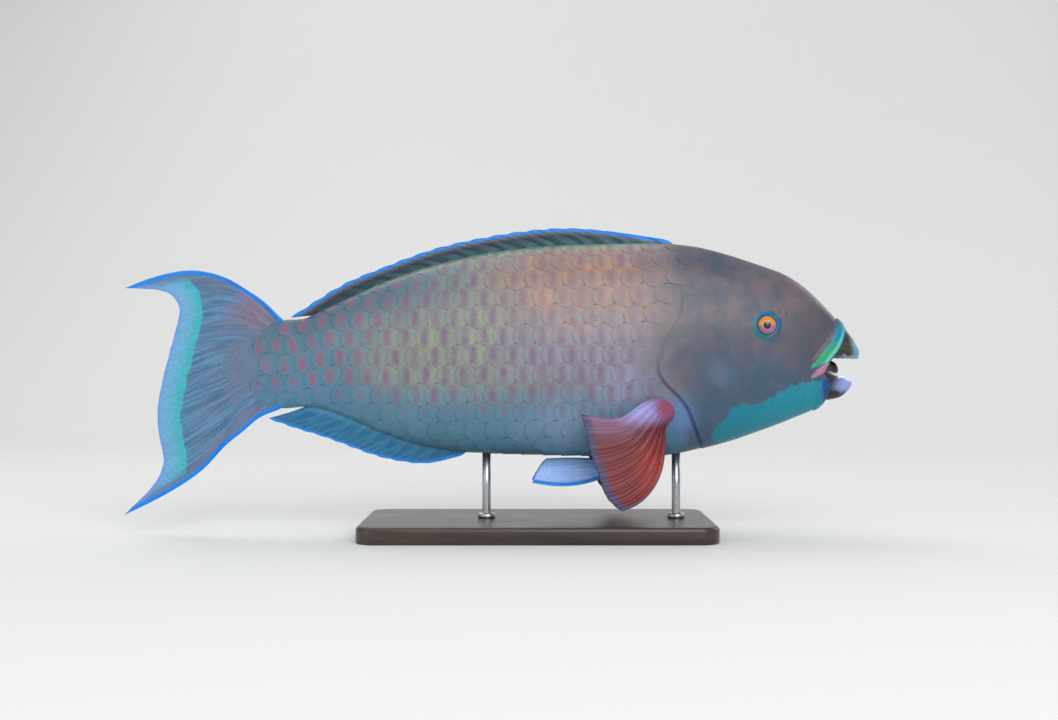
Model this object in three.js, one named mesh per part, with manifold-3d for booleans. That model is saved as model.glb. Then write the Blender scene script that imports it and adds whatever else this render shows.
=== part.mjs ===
// A life-size parrotfish on a plain display stand: +X towards the head, +Y to the fish's left, +Z up.
// The origin is on the surface that the stand rests on, under the middle of the model.
import * as THREE from 'three';
import { mergeVertices } from 'three/addons/utils/BufferGeometryUtils.js';
import Module from 'manifold-3d';

const wasm = await Module();
wasm.setup();

// Driving dimensions, in millimetres
const TOTAL_LENGTH = 450;
const BODY_WIDTH = 58;
const BASE = { length: 212, width: 112, height: 10, corner: 12, bevel: 1.6, centreX: 28 };
const ROD = { radius: 2.6, frontX: 113, rearX: -3, sides: 20, uncutTop: 80 };
const TOUCH_GAP = 0.3;

// Size of the blocks that part the body, well past its ends
const CUTTER = 400;

const degrees = Math.PI / 180;

// The outlines below are written for a fish of this length and grow with TOTAL_LENGTH
const DRAWN_LENGTH = 450;
const K = TOTAL_LENGTH / DRAWN_LENGTH;

// The side outlines were drawn from this viewpoint, so a point that stands out towards it is drawn large
const VIEWPOINT = { x: 23, z: 106.6, distance: 900 };

const BODY_SIDES = 32;
const RINGS_PER_STATION = 2;

// Stations from the caudal base to the lips: the top and bottom of each ring in the middle plane, its
// half width as a share of the widest, the height share of its widest place, and the roundness of its
// upper and lower halves (1 is an ellipse, less is boxier, more is leaner)
const STATIONS = [
  { top: [-140, 127.5], keel: [-141, 77.5], wide: 0.08, widest: 0.5, above: 1, below: 1 },
  { top: [-130, 131.2], keel: [-130, 76.6], wide: 0.2, widest: 0.5, above: 1, below: 1 },
  { top: [-117, 131.8], keel: [-117, 77.4], wide: 0.3, widest: 0.5, above: 1, below: 1 },
  { top: [-103, 137.6], keel: [-103, 76.2], wide: 0.39, widest: 0.5, above: 1, below: 1 },
  { top: [-88, 144.8], keel: [-88, 71], wide: 0.49, widest: 0.5, above: 1.02, below: 1 },
  { top: [-68, 153.8], keel: [-68, 62.4], wide: 0.62, widest: 0.5, above: 1.05, below: 0.98 },
  { top: [-38, 164.2], keel: [-38, 52.9], wide: 0.78, widest: 0.5, above: 1.08, below: 0.95 },
  { top: [-7, 171.6], keel: [-7, 49.4], wide: 0.89, widest: 0.49, above: 1.08, below: 0.92 },
  { top: [24, 175.9], keel: [24, 48.3], wide: 0.96, widest: 0.48, above: 1.08, below: 0.9 },
  { top: [55, 177.8], keel: [55, 47.6], wide: 0.995, widest: 0.48, above: 1.06, below: 0.88 },
  { top: [85, 178.5], keel: [85, 47.4], wide: 1, widest: 0.48, above: 1.03, below: 0.88 },
  { top: [111, 178], keel: [109, 48.1], wide: 0.975, widest: 0.49, above: 1, below: 0.9 },
  { top: [129, 175.2], keel: [126, 51.6], wide: 0.93, widest: 0.49, above: 0.96, below: 0.92 },
  { top: [147, 170.4], keel: [142, 55.7], wide: 0.865, widest: 0.5, above: 0.93, below: 0.94 },
  { top: [165, 164.4], keel: [157, 60.6], wide: 0.78, widest: 0.5, above: 0.92, below: 0.95 },
  { top: [180, 158.6], keel: [171, 65.6], wide: 0.69, widest: 0.5, above: 0.92, below: 0.95 },
  { top: [193, 149.8], keel: [182, 69.9], wide: 0.605, widest: 0.5, above: 0.92, below: 0.94 },
  { top: [203.5, 139.6], keel: [190.5, 73.4], wide: 0.53, widest: 0.5, above: 0.9, below: 0.9 },
  { top: [211.6, 131], keel: [197, 76.2], wide: 0.465, widest: 0.5, above: 0.86, below: 0.86 },
  { top: [215.6, 126.9], keel: [200.8, 78.3], wide: 0.43, widest: 0.5, above: 0.84, below: 0.84 },
];

// The lips roll in from the last ring to the floor of the mouth: advance along X and share of the ring
const LIP_ROLL = [
  { advance: 1.5, share: 0.93 },
  { advance: 0.6, share: 0.82 },
  { advance: -5, share: 0.74 },
  { advance: -14, share: 0.56 },
];
const MOUTH_CORNER = { pullBack: 7, height: 0.44, above: 0.24, below: 0.13, from: 0.925 };

// The rear edge of the gill cover, from above the nape to below the throat
const GILL_LINE = [
  [114, 200], [113.5, 160], [113, 134], [107.5, 124], [101.5, 112], [99.6, 102], [102.6, 94.5],
  [110.5, 86.5], [117.5, 78], [122.4, 67], [126.5, 57], [131, 45], [133, 20],
];
const GILL_STEP = { depth: 0.045, from: 62, to: 96 };
const TAIL_CUT_X = -92;

// The eye: drawn centre, radius and flatness of the ball, how far it stands out, and its rim
const EYE = { x: 168.7, z: 127.9, radius: 8.4, flatten: 0.86, proud: 1.9, rim: 1.1, rimRadius: 6.4 };

// The beak: two curved plates, each a stack of horseshoe sections from its root to its biting edge
const UPPER_BEAK = {
  slope: 0.02,
  sections: [
    { x: 203, z: 127, halfWidth: 8.2, reach: 12.2, wall: 4.2 },
    { x: 206, z: 122, halfWidth: 9.2, reach: 13.4, wall: 4.2 },
    { x: 207.2, z: 116.5, halfWidth: 9.6, reach: 15.8, wall: 4 },
    { x: 207.4, z: 111.5, halfWidth: 9.4, reach: 17.5, wall: 3.2 },
    { x: 206.6, z: 107.4, halfWidth: 8.8, reach: 17.4, wall: 1.6 },
  ],
};
const LOWER_BEAK = {
  slope: 0.36,
  sections: [
    { x: 191, z: 87.5, halfWidth: 7, reach: 15, wall: 4 },
    { x: 194, z: 90.2, halfWidth: 7.6, reach: 18.4, wall: 4 },
    { x: 198, z: 93.8, halfWidth: 8.2, reach: 19.2, wall: 3.8 },
    { x: 201, z: 97.6, halfWidth: 8.4, reach: 19, wall: 3 },
    { x: 202.4, z: 101.4, halfWidth: 8.2, reach: 18.2, wall: 1.6 },
  ],
};

// The lips: rolls round the muzzle, whose rounded shape tells which way they stand out
const MUZZLE = { centre: [196, 0, 103], radii: [20, 13.2, 24] };
const LIPS = {
  upper: {
    from: -1 * degrees,
    to: 181 * degrees,
    shareAt: (t) => mix(0.972, 0.992, Math.sin(Math.PI * t) ** 0.6),
    radiusAt: (t) => mix(1.8, 3.6, Math.sin(Math.PI * t) ** 0.5),
    flat: 0.36,
    steps: 24,
    sides: 8,
  },
  lower: {
    from: 190 * degrees,
    to: 350 * degrees,
    shareAt: (t) => mix(0.976, 0.992, Math.sin(Math.PI * t) ** 0.6),
    radiusAt: (t) => mix(1.6, 2.6, Math.sin(Math.PI * t)),
    flat: 0.36,
    steps: 20,
    sides: 8,
  },
};

// The nostrils: a front and a rear pit on each side
const NOSTRILS = [{ x: 181.5, z: 134.5, radius: 1.1 }, { x: 177, z: 136.6, radius: 1.4 }];

// The fins: rays in each, half thickness of the membrane, and the four edges of each outline
const RAYS = { dorsal: 19, anal: 12, caudal: 13, pectoral: 14, pelvic: 6 };
const MEMBRANE = 0.34;
const RAY_OPTIONS = {
  dorsal: { rays: RAYS.dorsal, rows: 4, rootHalf: 0.9, rayHalf: 0.55, scallop: 0.05 },
  anal: { rays: RAYS.anal, rows: 4, rootHalf: 0.9, rayHalf: 0.5, scallop: 0.03 },
  pectoral: { rays: RAYS.pectoral, rows: 8, rootHalf: 1.9, rayHalf: 0.5 },
  pelvic: { rays: RAYS.pelvic, rows: 7, rootHalf: 1.1, rayHalf: 0.6 },
};

const DORSAL = {
  root: [[113, 174.5], [66, 173.5], [24, 171.5], [-20, 165.5], [-60, 152.5], [-100, 135]],
  margin: [
    [91, 182.8], [66.5, 186.2], [46.3, 187.5], [23.6, 186.2], [-7, 181.4], [-36, 174.6], [-68.3, 162.8],
    [-92, 152.6], [-112, 140.2], [-124.5, 132.2],
  ],
  first: [[113, 174.5], [110.5, 178.6], [102, 181.2], [91, 182.8]],
  last: [[-100, 135], [-112, 134.2], [-124.5, 132.2]],
};

const ANAL = {
  root: [[-12, 54], [-38, 57.5], [-60, 65], [-84, 74], [-106, 81]],
  margin: [
    [-24, 46.6], [-39.4, 43.3], [-54.2, 44.2], [-70, 47.6], [-83.9, 52.4], [-106.2, 60.4], [-122.5, 65.4],
    [-137.5, 70.8],
  ],
  first: [[-12, 54], [-17, 48.6], [-24, 46.6]],
  last: [[-106, 81], [-118, 76.4], [-137.5, 70.8]],
};

const CAUDAL = {
  root: [[-122, 127], [-124, 115], [-125, 103], [-124, 91], [-122, 81]],
  margin: [
    [-225, 150.4], [-208, 149.8], [-196.5, 146.5], [-191.6, 139.5], [-192.4, 130], [-195.6, 117.5],
    [-200, 100.7], [-203.4, 85.8], [-204.9, 71], [-202.8, 56], [-201, 44.2], [-203.6, 35.6], [-210.1, 26.3],
    [-217.5, 19], [-225, 11.6],
  ],
  first: [
    [-122, 127], [-130, 133.4], [-137, 140.4], [-151, 150.4], [-163, 157.1], [-173.5, 160.3], [-184, 161.5],
    [-196, 160.1], [-210.1, 156.3], [-225, 150.4],
  ],
  last: [
    [-122, 81], [-131, 76], [-141.8, 71.4], [-150.8, 64], [-162.6, 54.4], [-173.1, 43], [-188, 31.2],
    [-207.2, 20.2], [-225, 11.6],
  ],
};

// Drawn edges of the paired fins, as [x, z, distance out from the middle plane]
const PECTORAL = {
  root: [[107.5, 71.5, 22], [109, 77, 22.5], [105, 81, 23]],
  margin: [
    [79.5, 13.8, 47], [72.8, 19.4, 47], [69.2, 24.6, 46.6], [65.6, 35.3, 45], [61.8, 45.3, 43],
    [58.4, 59.3, 39.6], [54.6, 73.6, 36],
  ],
  first: [
    [107.5, 71.5, 22], [106.6, 65.6, 30.5], [106.6, 56.1, 34.5], [106, 46.8, 38], [104.4, 38.4, 41],
    [100.6, 29.6, 43.5], [94.4, 21.8, 45.4], [88, 17, 46.4], [79.5, 13.8, 47],
  ],
  last: [
    [105, 81, 23], [97, 82, 29.5], [90.4, 78.8, 31.5], [84.6, 74.4, 32.4], [78.6, 71.4, 33],
    [70.6, 71, 34], [59, 72.8, 35.6], [54.6, 73.6, 36],
  ],
};
const PELVIC = {
  root: [[92, 54, 5], [89, 55, 3.2], [85, 56, 2]],
  margin: [[24.6, 31.4, 13], [27.4, 37, 10.5], [30.4, 42, 7.6], [33.4, 45.6, 5]],
  first: [
    [92, 54, 5], [85, 45, 8.5], [75, 38, 11], [65, 33, 12.4],
    [52, 29.8, 13.2], [38, 29.4, 13.4], [24.6, 31.4, 13],
  ],
  last: [[85, 56, 2], [72, 47.4, 3.4], [55, 46.2, 4.2], [33.4, 45.6, 5]],
};

// A natural cubic spline through rows of numbers, spaced by the distance between their first places
class Guide {
  constructor(rows, places = rows[0].length) {
    this.rows = rows;
    const span = (a, b) => Math.hypot(...a.slice(0, places).map((value, i) => value - b[i]));
    this.knots = [0];
    for (let i = 1; i < rows.length; i++) this.knots.push(this.knots[i - 1] + span(rows[i], rows[i - 1]));
    const total = this.knots[rows.length - 1];
    this.knots = this.knots.map((knot) => knot / total);
    this.bends = rows[0].map((_, column) => this.solveBends(rows.map((row) => row[column])));
  }

  solveBends(values) {
    const n = values.length;
    const t = this.knots;
    const bends = new Array(n).fill(0);
    const upper = new Array(n).fill(0);
    const right = new Array(n).fill(0);
    for (let i = 1; i < n - 1; i++) {
      const before = t[i] - t[i - 1];
      const after = t[i + 1] - t[i];
      const pivot = 2 * (before + after) - before * upper[i - 1];
      const slopeChange = (values[i + 1] - values[i]) / after - (values[i] - values[i - 1]) / before;
      upper[i] = after / pivot;
      right[i] = (6 * slopeChange - before * right[i - 1]) / pivot;
    }
    for (let i = n - 2; i > 0; i--) bends[i] = right[i] - upper[i] * bends[i + 1];
    return bends;
  }

  at(share) {
    const t = this.knots;
    let i = 1;
    while (i < t.length - 1 && share > t[i]) i++;
    const h = t[i] - t[i - 1];
    const a = (t[i] - share) / h;
    const b = 1 - a;
    return this.rows[i].map((value, column) => {
      const bend = this.bends[column];
      return a * this.rows[i - 1][column] + b * value
        + ((a ** 3 - a) * bend[i - 1] + (b ** 3 - b) * bend[i]) * h * h / 6;
    });
  }
}

const clamp = (value, low, high) => Math.min(high, Math.max(low, value));
const mix = (a, b, share) => a + (b - a) * share;
const smooth = (low, high, value) => {
  const t = clamp((value - low) / (high - low), 0, 1);
  return t * t * (3 - 2 * t);
};

// A point drawn at x, z stands at this place when it is `out` millimetres from the middle plane
function drawnPoint([x, z, out]) {
  const nearer = 1 - Math.abs(out) / VIEWPOINT.distance;
  const along = VIEWPOINT.x + (x - VIEWPOINT.x) * nearer;
  const up = VIEWPOINT.z + (z - VIEWPOINT.z) * nearer;
  return [along * K, -out * K, up * K];
}

// Geometry and solids

function meshGeometry(positions, triangles) {
  const geometry = new THREE.BufferGeometry();
  geometry.setAttribute('position', new THREE.Float32BufferAttribute(positions.flat(), 3));
  geometry.setIndex(triangles.flat());
  return geometry;
}

function solid(geometry) {
  const bare = geometry.clone();
  bare.deleteAttribute('normal');
  bare.deleteAttribute('uv');
  const merged = mergeVertices(bare, 1e-3);
  const mesh = new wasm.Mesh({
    numProp: 3,
    vertProperties: new Float32Array(merged.attributes.position.array),
    triVerts: new Uint32Array(merged.index.array),
  });
  return new wasm.Manifold(mesh);
}

function largestPiece(manifold) {
  return manifold.decompose().sort((a, b) => b.volume() - a.volume())[0];
}

function geometryOf(manifold) {
  const mesh = largestPiece(manifold).getMesh();
  const geometry = new THREE.BufferGeometry();
  geometry.setAttribute('position', new THREE.Float32BufferAttribute(mesh.vertProperties, 3));
  geometry.setIndex(Array.from(mesh.triVerts));
  geometry.computeVertexNormals();
  return geometry;
}

// Rings of equal count joined into one closed skin. A ring that runs out and back, such as a horseshoe, is
// closed by a strip across its wall, and any other ring by a fan.
function loftGeometry(rings, { horseshoe = false } = {}) {
  const sides = rings[0].length;
  const positions = rings.flat();
  const triangles = [];
  for (let r = 0; r < rings.length - 1; r++) {
    for (let s = 0; s < sides; s++) {
      const a = r * sides + s;
      const b = r * sides + ((s + 1) % sides);
      triangles.push([a, b, b + sides], [a, b + sides, a + sides]);
    }
  }
  const last = (rings.length - 1) * sides;
  if (horseshoe) {
    for (let s = 0; s < sides / 2 - 1; s++) {
      const [a, b, c, d] = [s, s + 1, sides - 2 - s, sides - 1 - s];
      triangles.push([a, c, b], [a, d, c], [last + a, last + b, last + c], [last + a, last + c, last + d]);
    }
    return meshGeometry(positions, triangles);
  }
  const centre = (ring) => [0, 1, 2].map((axis) => ring.reduce((sum, point) => sum + point[axis], 0) / sides);
  const start = positions.push(centre(rings[0])) - 1;
  const end = positions.push(centre(rings[rings.length - 1])) - 1;
  for (let s = 0; s < sides; s++) {
    const next = (s + 1) % sides;
    triangles.push([start, next, s], [end, last + s, last + next]);
  }
  return meshGeometry(positions, triangles);
}

// A fin: a surface over u (across the rays) and v (root to margin), with the same triangles on both faces
function finGeometry({ centre, half, columns, rows }) {
  const step = 1e-3;
  const at = (u, v) => new THREE.Vector3(...centre(u, v));
  const faces = [[], []];
  for (let r = 0; r <= rows; r++) {
    for (let c = 0; c <= columns; c++) {
      const u = c / columns;
      const v = r / rows;
      const across = at(Math.min(1, u + step), v).sub(at(Math.max(0, u - step), v));
      const along = at(u, Math.min(1, v + step)).sub(at(u, Math.max(0, v - step)));
      const normal = across.cross(along).normalize().multiplyScalar(half(u, v));
      const point = at(u, v);
      faces[0].push(point.clone().add(normal).toArray());
      faces[1].push(point.clone().sub(normal).toArray());
    }
  }
  const count = faces[0].length;
  const triangles = [];
  const quad = (a, b, c, d) => triangles.push([a, b, c], [a, c, d]);
  const index = (c, r) => r * (columns + 1) + c;
  for (let r = 0; r < rows; r++) {
    for (let c = 0; c < columns; c++) {
      const corners = [index(c, r), index(c + 1, r), index(c + 1, r + 1), index(c, r + 1)];
      const under = corners.map((corner) => corner + count);
      quad(...corners);
      triangles.push([under[0], under[2], under[1]], [under[0], under[3], under[2]]);
    }
  }
  for (let c = 0; c < columns; c++) {
    quad(index(c, 0), index(c, 0) + count, index(c + 1, 0) + count, index(c + 1, 0));
    quad(index(c + 1, rows), index(c + 1, rows) + count, index(c, rows) + count, index(c, rows));
  }
  for (let r = 0; r < rows; r++) {
    quad(index(0, r + 1), index(0, r + 1) + count, index(0, r) + count, index(0, r));
    quad(index(columns, r), index(columns, r) + count, index(columns, r + 1) + count, index(columns, r + 1));
  }
  return meshGeometry([...faces[0], ...faces[1]], triangles);
}

// A surface filled in between four boundary curves that share their corners
function filledSurface({ root, margin, first, last }) {
  const [a, b, c, d] = [root, margin, first, last].map((points) => new Guide(points));
  return (u, v) => {
    const [r, m, f, l] = [a.at(u), b.at(u), c.at(v), d.at(v)];
    const [r0, r1, m0, m1] = [a.at(0), a.at(1), b.at(0), b.at(1)];
    return r.map((_, i) => mix(r[i], m[i], v) + mix(f[i], l[i], u)
      - mix(mix(r0[i], r1[i], u), mix(m0[i], m1[i], u), v));
  };
}

// The body

const ringGuide = new Guide(STATIONS.map(({ top, keel, wide, widest, above, below }) => [
  ...top, ...keel, wide, widest, above, below,
]), 4);

function ringAt(share) {
  const [topX, topZ, keelX, keelZ, wide, widest, above, below] = ringGuide.at(share);
  return { topX, topZ, keelX, keelZ, halfWidth: wide * BODY_WIDTH / 2 / K, widest, above, below };
}

// Half width of a ring at a share of its height
function widthAt(ring, height) {
  const upper = height >= ring.widest;
  const rise = upper ? (height - ring.widest) / (1 - ring.widest) : (ring.widest - height) / ring.widest;
  const level = Math.sqrt(Math.max(0, 1 - rise * rise));
  return ring.halfWidth * level ** (upper ? ring.above : ring.below);
}

// Outward distance of the body's side at a drawn place on it
function flank(x, z) {
  let low = 0;
  let high = 1;
  for (let i = 0; i < 40; i++) {
    const middle = (low + high) / 2;
    const ring = ringAt(middle);
    const height = (z - ring.keelZ) / (ring.topZ - ring.keelZ);
    if (mix(ring.keelX, ring.topX, height) < x) low = middle;
    else high = middle;
  }
  const ring = ringAt(low);
  return widthAt(ring, clamp((z - ring.keelZ) / (ring.topZ - ring.keelZ), 0, 1));
}

function gillInset(x) {
  return 1 - GILL_STEP.depth * smooth(GILL_STEP.from, GILL_STEP.to, x);
}

// The point of a ring at an angle, from the fish's left through its back and its right to its belly
function ringPoint(ring, angle, { grow = 0, inset = false, advance = 0, share = 1, corner = 0 } = {}) {
  const lift = Math.sin(angle);
  const upper = lift >= 0;
  const height = ring.widest + lift * (upper ? 1 - ring.widest : ring.widest);
  const side = Math.abs(Math.cos(angle)) ** (upper ? ring.above : ring.below) * Math.sign(Math.cos(angle));
  const middle = [(ring.topX + ring.keelX) / 2, (ring.topZ + ring.keelZ) / 2];
  const x = mix(ring.keelX, ring.topX, height);
  const z = mix(ring.keelZ, ring.topZ, height);
  const shrink = inset ? gillInset(x) : 1;
  const spread = height > MOUTH_CORNER.height ? MOUTH_CORNER.above : MOUTH_CORNER.below;
  const back = corner * MOUTH_CORNER.pullBack * Math.abs(side)
    * Math.exp(-(((height - MOUTH_CORNER.height) / spread) ** 2));
  return [
    (mix(middle[0], x, share) + advance - back) * K,
    ring.halfWidth * side * share * shrink * K + grow * side,
    mix(middle[1], z, share) * K + grow * lift,
  ];
}

function ringPoints(ring, options) {
  return Array.from({ length: BODY_SIDES }, (_, s) => ringPoint(ring, 2 * Math.PI * s / BODY_SIDES, options));
}

const cornerShare = (share) => smooth(MOUTH_CORNER.from, 1, share);

function bodySolid({ grow = 0, inset = false } = {}) {
  const count = (STATIONS.length - 1) * RINGS_PER_STATION;
  const rings = [ringPoints(ringAt(0), { grow, inset, advance: -grow })];
  const shareOf = (i) => {
    const station = Math.floor(i / RINGS_PER_STATION);
    const within = (i % RINGS_PER_STATION) / RINGS_PER_STATION;
    const next = Math.min(station + 1, STATIONS.length - 1);
    return mix(ringGuide.knots[station], ringGuide.knots[next], within);
  };
  for (let i = 1; i <= count; i++) {
    const share = shareOf(i);
    rings.push(ringPoints(ringAt(share), { grow, inset, corner: cornerShare(share) }));
  }
  for (const { advance, share } of LIP_ROLL) {
    rings.push(ringPoints(ringAt(1), { grow, inset, advance: advance + grow, share, corner: 1 }));
  }
  return solid(loftGeometry(rings));
}

// Everything in front of the gill line, moved forward by a shift
function frontRegion(shift) {
  const line = new Guide(GILL_LINE);
  const steps = 26;
  const outline = new THREE.Shape();
  outline.moveTo(CUTTER, GILL_LINE[0][1]);
  for (let i = 0; i <= steps; i++) {
    const [x, z] = line.at(i / steps);
    outline.lineTo((x + shift) * K, z * K);
  }
  outline.lineTo(CUTTER, GILL_LINE[GILL_LINE.length - 1][1]);
  const depth = 2 * BODY_WIDTH;
  const geometry = new THREE.ExtrudeGeometry(outline, { depth, bevelEnabled: false });
  geometry.rotateX(Math.PI / 2);
  geometry.translate(0, depth / 2, 0);
  return solid(geometry);
}

function slabBehind(x) {
  const geometry = new THREE.BoxGeometry(CUTTER, CUTTER, CUTTER);
  geometry.translate(x - CUTTER / 2, 0, CUTTER / 4);
  return solid(geometry);
}

// A flattened roll laid on the body from one angle of its rings to another, such as a lip
function rollGeometry({ from, to, shareAt, radiusAt, flat, steps, sides }) {
  const place = (t) => {
    const share = shareAt(t);
    return new THREE.Vector3(...ringPoint(ringAt(share), mix(from, to, t), { corner: cornerShare(share) }));
  };
  const heart = new THREE.Vector3(...MUZZLE.centre).multiplyScalar(K);
  const rings = [];
  for (let i = 0; i <= steps; i++) {
    const t = i / steps;
    const middle = place(t);
    const along = place(Math.min(1, t + 0.01)).sub(place(Math.max(0, t - 0.01))).normalize();
    const outward = middle.clone().sub(heart);
    outward.set(...outward.toArray().map((value, axis) => value / MUZZLE.radii[axis] ** 2));
    outward.addScaledVector(along, -outward.dot(along)).normalize();
    const sideways = along.clone().cross(outward);
    const radius = radiusAt(t) * K;
    rings.push(Array.from({ length: sides }, (_, s) => {
      const angle = 2 * Math.PI * s / sides;
      return middle.clone()
        .addScaledVector(outward, Math.cos(angle) * radius * flat)
        .addScaledVector(sideways, Math.sin(angle) * radius).toArray();
    }));
  }
  return loftGeometry(rings);
}

function ballGeometry(radius, [x, y, z], [sx, sy, sz], [around, over]) {
  const geometry = new THREE.SphereGeometry(radius, around, over);
  geometry.rotateX(Math.PI / 2);
  geometry.scale(sx, sy, sz);
  geometry.translate(x, y, z);
  return geometry;
}

// The eyes

function eyePlace(side, extra = 0) {
  const out = flank(EYE.x - 4, EYE.z);
  const [x, , z] = drawnPoint([EYE.x, EYE.z, out]);
  const depth = out + EYE.proud - EYE.radius * EYE.flatten + extra;
  return [x, side * depth * K, z];
}

function eyeBall(side, grow = 0) {
  const flat = (EYE.radius * EYE.flatten * K + grow) / (EYE.radius * K + grow);
  return solid(ballGeometry(EYE.radius * K + grow, eyePlace(side), [1, flat, 1], [16, 10]));
}

function eyeRim(side) {
  const rim = new THREE.TorusGeometry(EYE.rimRadius * K, EYE.rim * K, 6, 20);
  rim.rotateX(Math.PI / 2);
  const [x, , z] = eyePlace(side);
  const slope = (flank(EYE.x - 9, EYE.z) - flank(EYE.x + 1, EYE.z)) / 10;
  rim.rotateZ(side * Math.atan(-slope));
  rim.translate(x, side * (flank(EYE.x - 4, EYE.z) - 0.1) * K, z);
  return solid(rim);
}

function beakSolid({ sections, slope }, grow = 0) {
  const halfSteps = 8;
  const rows = sections.map(({ x, z, halfWidth, reach, wall }) => [x, z, halfWidth, reach, wall]);
  const guide = new Guide(rows, 2);
  const layers = 6;
  const rings = [];
  const rootToEdge = sections[sections.length - 1].z > sections[0].z ? 1 : -1;
  for (let layer = 0; layer <= layers; layer++) {
    const [x, z, halfWidth, reach, wall] = guide.at(layer / layers);
    const end = layer === 0 ? -grow : layer === layers ? grow : 0;
    const arc = (inset) => {
      const points = [];
      for (let i = 0; i <= halfSteps; i++) {
        const angle = mix(-0.5, 0.5, i / halfSteps) * Math.PI;
        const side = Math.sign(Math.sin(angle)) * Math.abs(Math.sin(angle)) ** 0.85;
        points.push([
          (x + (reach - inset) * Math.cos(angle)) * K + (inset ? -grow : grow) * Math.cos(angle)
            - grow * (1 - Math.cos(angle)) ** 3,
          (halfWidth - inset) * side * K + (inset ? -grow : grow) * side,
          (z - slope * (reach - inset) * Math.cos(angle)) * K + end * rootToEdge,
        ]);
      }
      return points;
    };
    const ring = [...arc(0), ...arc(Math.min(wall, halfWidth - 1)).reverse()];
    rings.push(rootToEdge > 0 ? ring : ring.reverse());
  }
  return solid(loftGeometry(rings, { horseshoe: true }));
}

function nostril({ x, z, radius }, side) {
  const out = flank(x, z);
  const [px, , pz] = drawnPoint([x, z, out]);
  return solid(ballGeometry(radius * K, [px, side * (out + 0.2) * K, pz], [1, 1, 1], [8, 6]));
}

// The fins

// 1 on the line of a ray and 0 on the membrane half way to the next
const onRay = (u, rays) => 0.5 - 0.5 * Math.cos(2 * Math.PI * u * rays);

function plainFin({ surface, rays, rows, rootHalf, rayHalf, scallop = 0 }) {
  const centre = (u, v) => surface(u, v * (1 - scallop * (1 - onRay(u, rays)) * v));
  const rise = (v) => mix(rootHalf, rayHalf, Math.sqrt(v)) * (1 - 0.55 * v);
  const half = (u, v) => (MEMBRANE + onRay(u, rays) * rise(v)) * K;
  return solid(finGeometry({ centre, half, columns: 2 * rays, rows }));
}

const inMiddlePlane = (points) => points.map(([x, z]) => [x * K, 0, z * K]);
const placedOutline = (outline, place) => Object.fromEntries(
  Object.entries(outline).map(([edge, points]) => [edge, place(points)]),
);

function middleFin(outline, options) {
  return plainFin({ surface: filledSurface(placedOutline(outline, inMiddlePlane)), ...options });
}

// Each caudal ray forks half way out, so a ridge parts into two towards the margin
function caudalFin() {
  const surface = filledSurface(placedOutline(CAUDAL, inMiddlePlane));
  const fork = { from: 0.42, to: 0.62 };
  const half = (u, v) => {
    const single = onRay(u, RAYS.caudal);
    const forked = onRay(u, 2 * RAYS.caudal);
    const ridge = mix(single, forked, smooth(fork.from, fork.to, v));
    return (MEMBRANE + ridge * mix(1.5, 0.2, v ** 0.7) + mix(0.8, 0, smooth(0, 0.3, v))) * K;
  };
  return solid(finGeometry({ centre: surface, half, columns: 4 * RAYS.caudal, rows: 9 }));
}

function pairedFin(outline, side, options) {
  const place = (points) => points.map((point) => {
    const [x, y, z] = drawnPoint(point);
    return [x, -side * y, z];
  });
  const boundaries = placedOutline(outline, place);
  if (side > 0) {
    const { root, margin, first, last } = boundaries;
    return plainFin({
      surface: filledSurface({ root: root.reverse(), margin: margin.reverse(), first: last, last: first }),
      ...options,
    });
  }
  return plainFin({ surface: filledSurface(boundaries), ...options });
}

// The stand

function standBase() {
  const { length, width, height, corner, bevel, centreX } = BASE;
  const inner = { x: length / 2 - corner, y: width / 2 - corner };
  const outline = new THREE.Shape();
  const radius = corner - bevel;
  outline.absarc(inner.x, inner.y, radius, 0, Math.PI / 2);
  outline.absarc(-inner.x, inner.y, radius, Math.PI / 2, Math.PI);
  outline.absarc(-inner.x, -inner.y, radius, Math.PI, 1.5 * Math.PI);
  outline.absarc(inner.x, -inner.y, radius, 1.5 * Math.PI, 2 * Math.PI);
  outline.closePath();
  const geometry = new THREE.ExtrudeGeometry(outline, {
    depth: height - 2 * bevel,
    bevelEnabled: true,
    bevelSize: bevel,
    bevelThickness: bevel,
    bevelSegments: 1,
    curveSegments: 6,
  });
  geometry.translate(centreX, 0, bevel);
  return solid(geometry);
}

function standRod(x) {
  const bottom = BASE.height + TOUCH_GAP;
  const geometry = new THREE.CylinderGeometry(ROD.radius, ROD.radius, ROD.uncutTop - bottom, ROD.sides);
  geometry.rotateX(Math.PI / 2);
  geometry.translate(x * K, 0, (ROD.uncutTop + bottom) / 2);
  return solid(geometry);
}

// Assembly

const skin = bodySolid();
const behindGill = bodySolid({ inset: true });
const clearance = bodySolid({ grow: TOUCH_GAP, inset: true });
const cutShift = TOUCH_GAP * 0.8;
const tailBlock = (shift) => slabBehind((TAIL_CUT_X + shift) * K);

const beaks = { beak_upper: UPPER_BEAK, beak_lower: LOWER_BEAK };

function headSolid() {
  let head = skin.intersect(frontRegion(cutShift));
  for (const lip of Object.values(LIPS)) head = head.add(solid(rollGeometry(lip)));
  for (const side of [-1, 1]) {
    head = head.add(eyeRim(side)).subtract(eyeBall(side, TOUCH_GAP));
    for (const pit of NOSTRILS) head = head.subtract(nostril(pit, side));
  }
  for (const sections of Object.values(beaks)) head = head.subtract(beakSolid(sections, TOUCH_GAP));
  return head;
}

const COLOURS = {
  head: 0x76707a, torso: 0x84808f, tail: 0x5f7c92, beak_upper: 0x46433e, beak_lower: 0x9fb4d6, eye: 0xb98a20,
  dorsal: 0x3f4c58, anal: 0x2d6f95, caudal: 0x6fb5d0, pectoral: 0x8d443c, pelvic: 0x8fabee,
  base: 0x2c2622, rod: 0xb8bcc0,
};

const model = new THREE.Group();

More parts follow.
